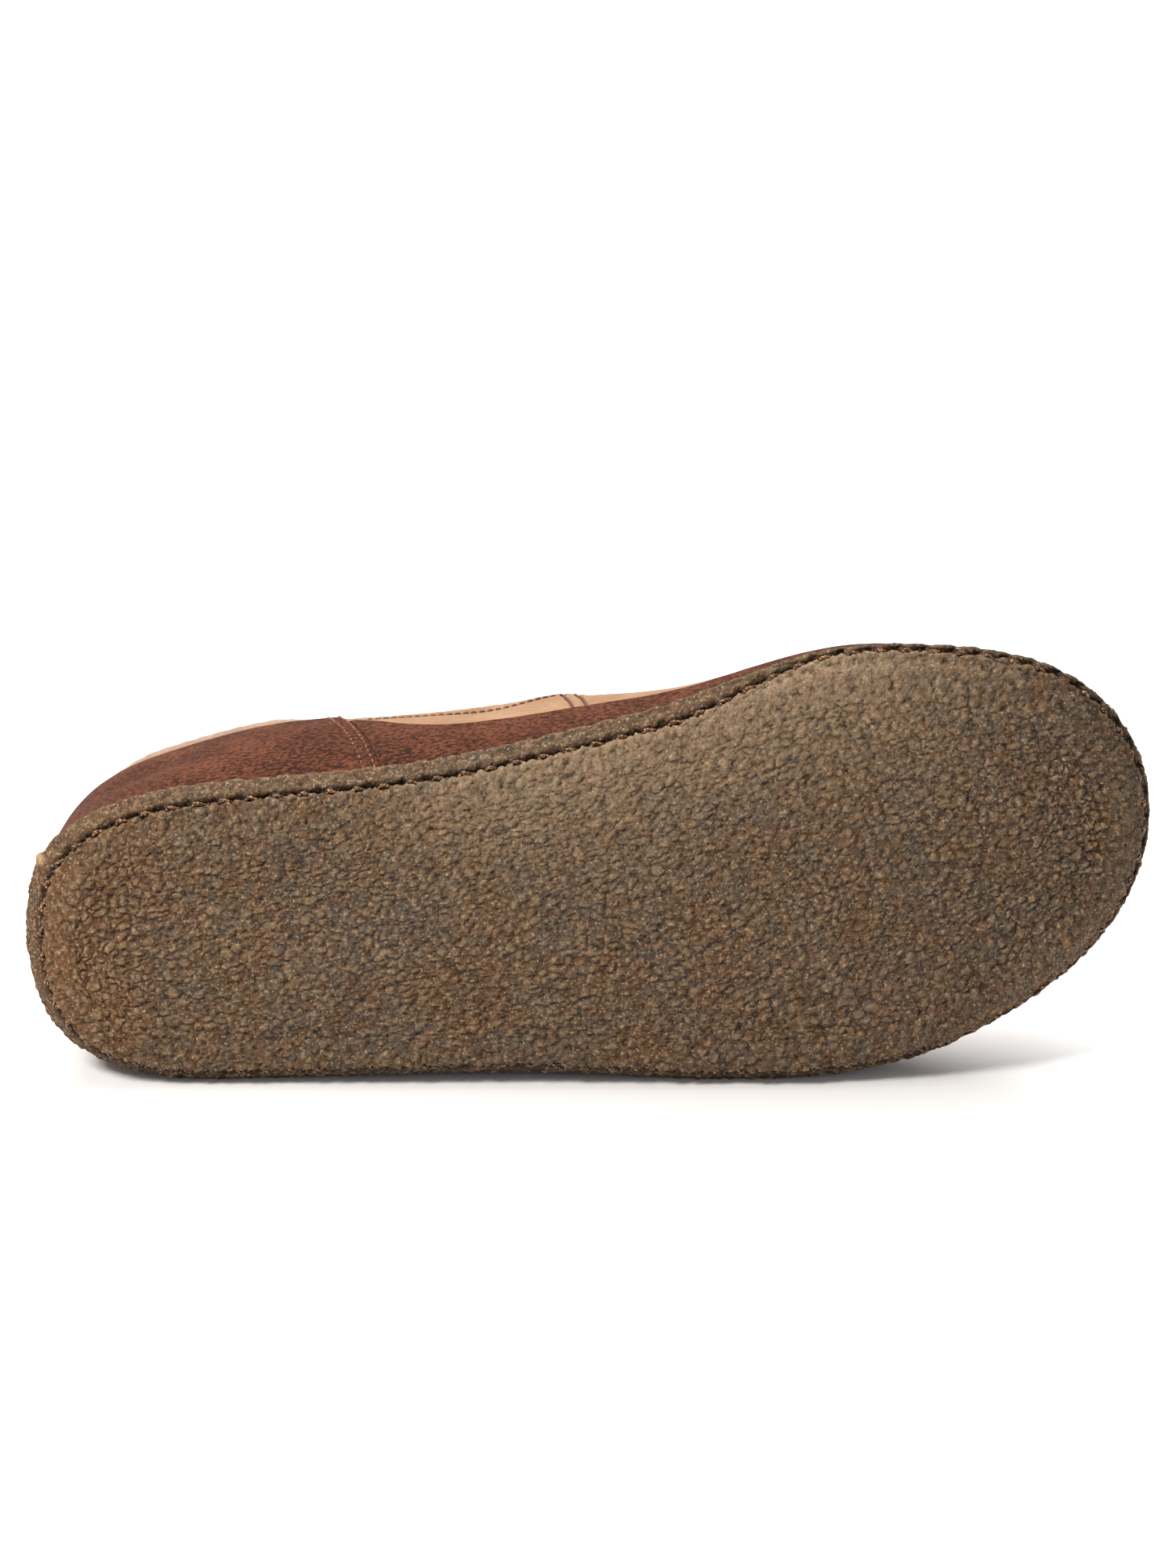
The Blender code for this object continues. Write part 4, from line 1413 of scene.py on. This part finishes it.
@dataclass
class SuedeUpper:
    """The tan upper: quarters and gathered vamp, the raised plug seam, and the lining inside."""

    last: Last
    wall: float = 1.8 * MM
    seam_share: float = 0.655
    seam_fade: float = 0.05
    bead_height: float = 2.3 * MM
    bead_breadth: float = 1.3 * MM
    plug_rise: float = 0.6 * MM
    pleat_pitch: float = 7.5 * MM
    pleat_depth: float = 1.25 * MM
    pleat_reach: float = 12 * MM
    rows: int = 71
    heel_columns: int = 60
    throat_columns: int = 110
    toe_columns: int = 130
    butt_seams: tuple[float, float] = (136.9 * MM, 140.5 * MM)
    row_start: float = 88 * MM
    row_end: float = 130 * MM
    row_drop: tuple[float, float] = (1.8 * MM, 4.6 * MM)
    roll_height: float = 0.55 * MM
    seam_slope: float = 0.12
    row_points: int = 240
    whip_points: int = 15
    whip_radius: float = 0.52 * MM
    same_turn: float = 1e-9

    def __post_init__(self) -> None:
        """Works out the columns of points, and the rows, which stand closer at the plug seam."""
        inner = self.last.columns(self.heel_columns, self.throat_columns, self.toe_columns)
        self.turns = both_sides(inner)
        even = np.linspace(0, 1, 4 * self.rows)
        density = 1 + 2.2 * bell(even, self.seam_share, 0.06) + 2.0 * bell(even, 0.97, 0.05)
        walked = np.concatenate([[0], np.cumsum((density[1:] + density[:-1]) / 2)])
        self.shares = np.interp(np.linspace(0, walked[-1], self.rows), walked, even)
        self.collar = self.last.collar_levels(self.turns)
        self.levels = self.shares[:, None] * self.collar

    def seam_relief(self) -> Array:
        """The plug's seam with its pleats, and the plug.

        Returns:
            How far they stand out, over rows and columns.
        """
        base = self.last.skin(self.turns, self.levels, 0.0)
        seam_line = self.last.skin(self.turns, self.seam_share * self.collar, 0.0)
        away = np.linalg.norm(base - seam_line, axis=2)
        side = np.where(self.shares[:, None] < self.seam_share, -1, 1)
        start = self.last.skin(self.last.throat, 1.0, 0.0)[0]
        along = self.last.skin(self.turns, self.collar, 0.0)[:, 0]
        fade = ease(along, start, start + self.seam_fade * self.last.seam_length)
        fade = fade * self.last.in_front(self.turns)
        walked = self.seam_walk(seam_line)
        lobes = 0.5 + 0.5 * np.cos(2 * math.pi * walked / self.pleat_pitch)
        bead = self.bead_height * (0.80 + 0.20 * lobes) * bell(away, 0, self.bead_breadth)
        plug = self.plug_rise * ease(side * away, -self.bead_breadth, self.bead_breadth)
        dip = -0.5 * MM * bell(away, 2.6 * MM, 1.0 * MM)
        reach = np.where(side < 0, self.pleat_reach, 0.45 * self.pleat_reach)
        pleats = self.pleat_depth * (lobes - 0.6) * ease(away, 0, 2.5 * MM) * np.exp(-away / reach)
        front = ease(along, 0.60 * self.last.seam_length, 0.80 * self.last.seam_length)
        return fade * (bead + plug + dip + pleats * (0.35 + 0.65 * front))

    def seam_walk(self, line: Array) -> Array:
        """Distances along the plug seam.

        Args:
            line: Its points, all round.

        Returns:
            How far each of them lies from the toe.
        """
        steps = np.linalg.norm(np.diff(line, axis=0, append=line[:1]), axis=1)
        walked = np.concatenate([[0], np.cumsum(steps)[:-1]])
        return walked - walked[len(line) // 2]

    def butt_relief(self, base: Array) -> Array:
        """The two valleys of the seam where quarter and vamp meet, with their soft lips.

        Args:
            base: Points of the last.

        Returns:
            How far they raise or sink the suede at each of them.
        """
        slanted = base[..., 0] + self.seam_slope * (self.last.height(base) - self.last.heel_height)
        away = np.abs(slanted[..., None] - self.butt_seams)
        valleys = -0.75 * MM * bell(away, 0, 0.75 * MM).sum(axis=-1)
        lips = 0.35 * MM * bell(away, 1.2 * MM, 0.8 * MM).sum(axis=-1)
        front = (self.turns > 0.12) & (self.turns < 0.88)
        plug = self.last.in_front(self.turns)
        beside = 1 - ease(self.shares, self.seam_share - 0.1, self.seam_share)[:, None] * plug
        return (valleys + lips) * front * beside

    def drop_to_row(self, along: Array) -> Array:
        """How far under the collar's edge its row of stitches runs."""
        return np.interp(along, (self.row_start, self.row_end), self.row_drop)

    def roll_relief(self, base: Array) -> Array:
        """The roll along the collar's edge in front of the counter, over its row of stitches.

        Args:
            base: Points of the last.

        Returns:
            How far it raises or sinks the suede at each of them.
        """
        edge = self.last.skin(self.turns, self.collar, 0.0)
        away = np.linalg.norm(base - edge, axis=2) / self.drop_to_row(edge[:, 0])
        roll = bell(away, 0.45, 0.42) - 0.9 * bell(away, 1, 0.2)
        reach = ease(edge[:, 0], self.row_start - 4 * MM, self.row_start + 6 * MM)
        reach = reach * (1 - ease(edge[:, 0], self.row_end, self.row_end + 14 * MM))
        return self.roll_height * roll * reach * ~self.last.in_front(self.turns)

    def outside(self) -> Array:
        """Raises all that stands out of the upper.

        Returns:
            The suede's outer points, over rows and columns.
        """
        base = self.last.skin(self.turns, self.levels, 0.0)
        relief = self.seam_relief() + self.last.relief(base)
        relief = relief + self.butt_relief(base) + self.roll_relief(base)
        waves = Grain(21).waves(base, 16 * MM, 2)
        edge = ease(self.shares, 0.0, 0.25)[:, None]
        return self.last.skin(self.turns, self.levels, relief + 0.10 * MM * waves * edge)

    def shell(self, outer: Array, inner: Array, turns: Array, look: tuple[str, Finishes]) -> bpy.types.Object:
        """Makes a wall between two surfaces, open at the collar and underneath.

        Args:
            outer: Its outer points, over rows and columns.
            inner: Its inner points.
            turns: Its columns' turns.
            look: The piece's name and its finish.

        Returns:
            The wall, closed round its own edges.
        """
        rows, count = outer.shape[:2]
        inside = rows * count
        front = self.last.in_front(turns, -self.same_turn)
        # In front of the throat the two sides share the ridge line's points.
        number = np.arange(2 * inside)
        partner = (-np.arange(count)) % count
        for start in ((rows - 1) * count, inside + (rows - 1) * count):
            shared = front & (partner < np.arange(count))
            number[start : start + count][shared] = start + partner[shared]
        wall = np.array(grid_faces(rows, count, closed=True))
        faces = number[np.concatenate([wall, wall[:, ::-1] + inside])]
        cell = np.arange(count)
        beside = (cell + 1) % count
        foot = np.stack([beside, cell, cell + inside, beside + inside], axis=1)
        rim = (rows - 1) * count
        open_cells = ~(front & front[beside])
        top = rim + np.stack([cell, beside, beside + inside, cell + inside], axis=1)
        faces = np.concatenate([faces, foot, number[top[open_cells]]])
        points = np.concatenate([outer.reshape(-1, 3), inner.reshape(-1, 3)])
        used, compact = np.unique(faces, return_inverse=True)
        whole = [tuple(dict.fromkeys(face)) for face in compact.reshape(faces.shape).tolist()]
        pile = Pile().add(points[used], [face for face in whole if len(face) > 2])
        return pile.piece(look[0], "tan_suede", look[1])

    def build(self) -> None:
        """Makes the suede and the lining, which stand for the upper's solid, and the threads."""
        creases = self.last.relief(self.last.skin(self.turns, self.levels, 0.0))
        back = self.last.skin(self.turns, self.levels, creases - 0.45 * self.wall)
        suede = self.shell(self.outside(), back, self.turns, ("suede_upper", Finishes.TAN))
        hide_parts("upper")
        turns, levels = self.turns[::2], self.levels[::2, ::2]
        face = self.last.skin(turns, levels, creases[::2, ::2] - 0.5 * self.wall)
        inner = self.last.skin(turns, levels, creases[::2, ::2] - self.wall)
        self.shell(face, inner, turns, ("suede_lining", Finishes.LINING))
        self.plug_stitches()
        self.seam_stitches()

    def plug_stitches(self) -> None:
        """Makes the thread that whips vamp and plug together over the raised seam."""
        pile = Pile()
        front = self.last.in_front(self.turns, 0.012)
        turns = self.turns[front]
        line = self.last.skin(turns, self.seam_share, 0.0)
        walked = walk(line)
        rise = self.seam_relief()[:, front].max(axis=0)
        share = np.linspace(-1, 1, self.whip_points)
        radii = self.whip_radius * rounded(self.whip_points)
        ahead = unit(np.gradient(line, axis=0).mean(axis=0))
        across = np.linalg.norm(self.last.skin(turns, self.seam_share + 0.02, 0.0) - line, axis=1) / 0.02
        for start in np.arange(0.4 * self.pleat_pitch, walked[-1], self.pleat_pitch / 2):
            at = np.interp(start + share * 0.9 * MM, walked, turns)
            reach = 2.5 * MM / np.interp(start, walked, across)
            over = np.interp(start, walked, rise) - self.plug_rise
            out = (over + 0.30 * MM) * np.cos(share * 1.35) ** 0.8 - 0.35 * MM
            base = self.last.skin(at, self.seam_share + share * reach, out)
            outwards = unit(self.last.skin(at, self.seam_share + share * reach, out + MM) - base)
            pile.add(*tube(base, radii, ahead + outwards, 8))
        pile.piece("plug_thread", "tan_suede", Finishes.TAN_THREAD)

    def seam_stitches(self) -> None:
        """Makes the stitches of the two seams behind the vamp and of the line under the collar."""
        pile = Pile()
        seam = StitchRow(self.last, pitch=2.2 * MM, length=1.9 * MM, thread=0.38 * MM)
        heights = np.linspace(0.40, 1.02, 50) * self.last.heel_height
        for side in (1, -1):
            for place in self.butt_seams:
                along = place - self.seam_slope * (heights - self.last.heel_height)
                turns, levels = places_at(self.last, along, heights, side)
                under = levels < self.last.collar_levels(np.mod(turns, 1.0)) - 0.012
                seam.sew(pile, turns[under], levels[under], np.full(under.sum(), -0.35 * MM))
            turns = side * np.linspace(0.155, 0.272, self.row_points)
            levels = self.last.collar_levels(np.mod(turns, 1.0))
            edge = self.last.skin(turns, levels, 0.0)
            lower = self.last.skin(turns, levels - 0.02, 0.0)
            levels = levels - 0.02 * self.drop_to_row(edge[:, 0]) / np.linalg.norm(edge - lower, axis=1)
            seam.sew(pile, turns, levels, np.full(self.row_points, -0.25 * MM))
        pile.piece("seam_thread", "tan_suede", Finishes.DARK_THREAD)


def places_at(last: Last, along: Array, heights: Array, side: int) -> tuple[Array, Array]:
    """The turns and levels of places on one side of the last.

    Args:
        last: The last.
        along: How far along the shoe each place is.
        heights: How high over the tread each place is.
        side: 1 for the inner side, -1 for the outer side.

    Returns:
        Their turns, which are negative on the outer side, and their levels.
    """
    turns = side * np.linspace(0, 0.5, last.levels)
    sections = [last.section(turn) for turn in turns]
    found_turns = []
    found_levels = []
    for place, height in zip(along, heights):
        reached = [np.interp(height, up, far) for far, up in sections]
        turn = float(np.interp(place, reached, turns))
        found_turns.append(turn)
        found_levels.append(float(np.interp(height, last.section(turn)[1], last.level_shares)))
    return np.array(found_turns), np.array(found_levels)


@dataclass
class Overlay:
    """A brown suede piece sewn on the upper, between the sole's lip and a line of its own."""

    last: Last
    name: str
    node: str
    thickness: float
    top_line: tuple
    drop: float
    gap: float
    forwards: bool
    columns: int
    clearance: float = 0.3 * MM
    edge_foot: float = 0.0940
    edge_top: float = 0.0760
    rounding: float = 0.9 * MM
    inner_side: float = 0.85 * MM
    rows: int = 30

    def __post_init__(self) -> None:
        """Works out the piece's turns and levels, over rows and columns."""
        self.foot = self.last.feather_height + (self.clearance + self.thickness) * math.cos(self.last.lean)
        share = np.linspace(0, 1, self.rows)
        self.row_shares = 0.5 - 0.5 * np.cos(math.pi * (0.25 * share + 0.75 * share**1.2))
        inner, heights = self.slanted_edge(1)
        outer, _ = self.slanted_edge(-1)
        start, end = (inner, outer + 1) if self.forwards else (outer, inner)
        near_edge = 0.5 - 0.5 * np.cos(math.pi * np.linspace(0, 1, self.columns))
        share = 0.25 * near_edge + 0.75 * np.linspace(0, 1, self.columns)
        self.turns = start[:, None] + (end - start)[:, None] * share
        self.levels = np.empty(self.turns.shape)
        for column in range(self.columns):
            top_turn = self.turns[-1, column]
            top_level = self.last.level_under(self.top_line, top_turn, self.drop)
            top = np.interp(top_level, self.last.level_shares, self.last.section(top_turn)[1])
            if column in (0, self.columns - 1):
                top = heights[-1]
            for row in range(self.rows):
                height = self.foot + (top - self.foot) * self.row_shares[row]
                up = self.last.section(self.turns[row, column])[1]
                self.levels[row, column] = np.interp(height, up, self.last.level_shares)

    def slanted_edge(self, side: int) -> tuple[Array, Array]:
        """The slanted edge between counter and foxing.

        Args:
            side: 1 for the inner side, -1 for the outer side.

        Returns:
            The edge's turns and heights.
        """
        slope = (self.edge_top - self.edge_foot) / self.last.heel_height
        top = self.last.heel_height
        for _ in range(20):
            along = self.edge_foot + slope * top
            top = float(self.last.read(self.top_line, 1, along)) * self.last.heel_height - self.drop
        heights = self.foot + (top - self.foot) * self.row_shares
        turns, _ = places_at(self.last, self.edge_foot + slope * heights + self.gap, heights, side)
        return turns, heights

    def thickness_over(self, base: Array) -> Array:
        """How thick the piece is, rounded off towards its edges.

        Args:
            base: Points of the last, over rows and columns.

        Returns:
            The thickness at each of them.
        """
        edges = (base[-1:], base[:, :1], base[:, -1:])
        near = np.min([np.linalg.norm(base - edge, axis=2) for edge in edges], axis=0)
        share = np.clip(near / self.rounding, 0, 1)
        inner = ease(self.last.beside_ridge(base), -8 * MM, 22 * MM)
        thickness = self.thickness + (self.inner_side - self.thickness) * inner
        return thickness * (0.45 + 0.55 * np.sqrt(1 - (1 - share) ** 2))

    def build(self) -> None:
        """Makes the piece, which stands for its solid."""
        base = self.last.skin(self.turns, self.levels, 0.0)
        relief = self.last.relief(base)
        out = self.clearance + relief
        inner = self.last.skin(self.turns, self.levels, out)
        out = out + self.thickness_over(base) + 0.06 * MM * Grain(31).waves(base, 5 * MM, 2)
        outer = self.last.skin(self.turns, self.levels, out)
        rows, columns = self.turns.shape
        faces = grid_faces(2 * rows, columns, closed_rows=True)
        for cell in (0, columns - 1):
            for row in range(rows - 1):
                far = 2 * rows - 1 - row
                corners = tuple(end * columns + cell for end in (row, row + 1, far - 1, far))
                faces.append(corners if cell else corners[::-1])
        points = np.concatenate([inner, outer[::-1]]).reshape(-1, 3)
        pile = Pile().add(points, [face[::-1] for face in faces])
        piece = pile.piece(self.name, "brown_suede", Finishes.BROWN)
        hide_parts(self.node)


@dataclass
class HeelCounter(Overlay):
    """The heel's overlay, with two rows of stitches along each slanted front edge."""

    stitch_rows: tuple[float, ...] = (1.3 * MM, 4.2 * MM)

    def build(self) -> None:
        """Makes the piece and its stitches."""
        super().build()
        pile = Pile()
        row = StitchRow(self.last, pitch=2.3 * MM, length=1.6 * MM, thread=0.34 * MM)
        slope = (self.edge_top - self.edge_foot) / self.last.heel_height
        for side in (1, -1):
            _, heights = self.slanted_edge(side)
            heights = np.linspace(heights[0] + 2 * MM, heights[-1] - 1.5 * MM, 30)
            for back in self.stitch_rows:
                turns, levels = places_at(self.last, self.edge_foot + slope * heights - back, heights, side)
                out = self.clearance + (self.inner_side if side == 1 else self.thickness)
                row.sew(pile, turns, levels, np.full(len(turns), out))
        pile.piece("counter_thread", "brown_suede", Finishes.BROWN_THREAD)


@dataclass
class CollarBinding:
    """The rolled suede binding round the collar edge."""

    last: Last
    wall: float = 1.8 * MM
    clearance: float = 0.3 * MM
    width: float = 4.6 * MM
    height: float = 4.2 * MM
    sides: int = 18
    heel_columns: int = 90
    throat_columns: int = 90
    roll_out: float = 0.30 * MM
    roll_in: float = 0.9 * MM
    roll_swell: float = 0.12
    roll_end: float = 0.067

    def build(self) -> None:
        """Makes the binding, which stands for its solid."""
        turns = both_sides(self.last.columns(self.heel_columns, self.throat_columns, 1)[:-1])
        levels = self.last.collar_levels(turns)
        edge = self.last.skin(turns, levels, 0.0)
        middle = self.last.skin(turns, levels, -self.wall / 2)
        normals = unit(edge - middle)
        rise = np.cross(np.roll(middle, -1, axis=0) - np.roll(middle, 1, axis=0), normals)
        rise = unit(rise) * math.copysign(1, rise[0, 2])
        centre = middle + rise * (self.clearance + self.height / 2)
        walked = np.cumsum(np.linalg.norm(np.diff(centre, axis=0, prepend=centre[-1:]), axis=1))
        pucker = 1 + 0.035 * np.sin(2 * math.pi * walked / walked[-1] * round(walked[-1] / (5 * MM)))
        behind = 1 - ease(centre[:, 0], self.roll_end - 0.008, self.roll_end + 0.008)
        behind = behind * ease(centre[:, 0], 0.008, 0.030)
        centre = centre + normals * (self.roll_out * behind - self.roll_in * (1 - behind))[:, None]
        size = pucker * (1 + self.roll_swell * (2 * behind - 1))
        rows = []
        for angle in np.arange(self.sides) * 2 * math.pi / self.sides:
            sideways = normals * (self.width / 2 * math.cos(angle) * size)[:, None]
            upwards = rise * (self.height / 2 * math.sin(angle) * size)[:, None]
            rows.append(centre + sideways + upwards)
        faces = grid_faces(self.sides, len(centre), closed_rows=True, closed=True)
        pile = Pile().add(np.concatenate(rows), faces)
        piece = pile.piece("rolled_binding", "collar_binding", Finishes.BINDING)
        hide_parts("collar_binding")


@dataclass
class Footbed:
    """The felted footbed, dished a little under heel and ball."""

    sole: CrepeSole
    inset: float = 3.92 * MM + 2.74 * MM
    low: float = 5.3 * MM
    thickness: float = 4.5 * MM
    rounding: float = 1.2 * MM
    flare: float = 0.7
    dish: float = 1.1 * MM
    cells_across: int = 60

    def build(self) -> None:
        """Makes the footbed, which stands for its solid."""
        slope = self.flare / math.tan(self.sole.lean)
        edge = -self.inset
        bevel = self.rounding
        high = self.low + self.thickness
        profile = (
            (edge - bevel, self.low),
            (edge + slope * bevel, self.low + bevel),
            (edge + slope * (self.thickness - bevel), high - bevel),
            (edge + slope * (self.thickness - bevel / 3), high - bevel / 3),
            (edge + slope * self.thickness - bevel, high),
            (edge + slope * self.thickness - 2 * bevel, high),
        )
        turns = self.sole.turns
        rings = np.stack([self.sole.last.ring(turns, np.full(len(turns), out), up) for out, up in profile])
        top = self.sole.across(rings[-1], self.cells_across)
        along = top[:, 0] / self.sole.last.seam_length
        share = np.tile(np.arange(1, self.cells_across) / self.cells_across, self.sole.stations - 1)
        middle = np.sin(math.pi * share) ** 1.5
        dish = bell(along, 0.13, 0.11) + 0.6 * bell(along, 0.70, 0.12)
        ends = ease(along, 0.02, 0.10) * (1 - ease(along, 0.90, 0.98))
        top[:, 2] -= self.dish * middle * dish * ends
        top[:, 2] += 0.12 * MM * Grain(41).waves(top, 2.2 * MM, 2)
        pile = Pile().add(*self.sole.body(rings, self.sole.across(rings[0], 4), top))
        piece = pile.piece("felt_footbed", "footbed", Finishes.FELT)
        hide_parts("insole")


@dataclass(frozen=True)
class SoftLight:
    """A soft studio light: where it hangs, how wide it is and how strong it is."""

    name: str
    place: tuple[float, float, float]
    width: float
    watts: float
    colour: str = "FFFFFF"


@dataclass
class Studio:
    """The plain pale floor, the soft lights and the camera."""

    aim: tuple[float, float, float] = (0.0, 0.0, 0.0714)
    elevation: float = 22.0
    distance: float = 1.2
    lens: float = 103.5
    floor: str = "FCFCFC"
    floor_size: float = 12.0
    air: float = 0.30
    lights: tuple[SoftLight, ...] = (
        SoftLight("key_light", (-0.60, -0.40, 0.74), 0.24, 9.4, "FFFAF4"),
        SoftLight("fill_light", (0.9, -1.4, 0.6), 1.2, 2.0),
        SoftLight("top_light", (0.1, 0.9, 1.9), 2.2, 66.0),
    )

    def build(self) -> None:
        """Makes floor, air, lights and camera."""
        self.make_floor()
        world = bpy.data.worlds.new("studio_air")
        world.use_nodes = True
        background = world.node_tree.nodes["Background"]
        background.inputs["Color"].default_value = linear("FFFFFF")
        background.inputs["Strength"].default_value = self.air
        bpy.context.scene.world = world
        for light in self.lights:
            lamp = bpy.data.lights.new(light.name, "AREA")
            lamp.energy = light.watts
            lamp.size = light.width
            lamp.color = linear(light.colour)[:3]
            self.hang(bpy.data.objects.new(light.name, lamp), Vector(light.place))
        tilt = math.radians(self.elevation)
        away = Vector((0, -math.cos(tilt), math.sin(tilt)))
        lens = bpy.data.cameras.new("camera")
        lens.lens = self.lens
        camera = bpy.data.objects.new("camera", lens)
        self.hang(camera, Vector(self.aim) + away * self.distance)
        bpy.context.scene.camera = camera
        bpy.context.scene.view_settings.view_transform = "Standard"

    def hang(self, thing: bpy.types.Object, place: Vector) -> None:
        """Hangs a light or the camera at a place, turned to where the studio aims.

        Args:
            thing: The light or the camera.
            place: The place.
        """
        turn = (place - Vector(self.aim)).to_track_quat("Z", "Y")
        thing.matrix_world = Matrix.Translation(place) @ turn.to_matrix().to_4x4()
        bpy.context.scene.collection.objects.link(thing)

    def make_floor(self) -> None:
        """Makes the floor, which isn't part of the shoe."""
        half = self.floor_size / 2
        mesh = bpy.data.meshes.new("floor")
        corners = [(-half, -half, 0), (half, -half, 0), (half, half, 0), (-half, half, 0)]
        mesh.from_pydata(corners, [], [(0, 1, 2, 3)])
        paper = {"Roughness": 0.9, "Base Color": linear(self.floor)}
        material, _, _ = new_material("floor_paper_matt", paper)
        mesh.materials.append(material)
        floor = bpy.data.objects.new("floor", mesh)
        bpy.context.scene.collection.objects.link(floor)


def main() -> None:
    """Builds the slipper's pieces in order and writes how large they are."""
    logging.basicConfig(level=logging.INFO, format="%(message)s")
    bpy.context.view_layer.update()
    Studio().build()
    last = Last()
    sole = CrepeSole(last)
    sole.build()
    SoleThread(sole).build()
    SuedeUpper(last).build()
    Overlay(last, "suede_foxing", "foxing", 1.3 * MM, FOXING_LINE, 0.0, 0.3 * MM, True, 260).build()
    # In order: last, name, node, thickness, top line, drop, gap, forwards, columns.
    HeelCounter(
        last, "suede_counter", "heel_counter", 1.7 * MM, COLLAR_LINE, 1.2 * MM, 0.0, False, 200
    ).build()
    CollarBinding(last).build()
    Footbed(sole).build()


if __name__ == "__main__":
    main()
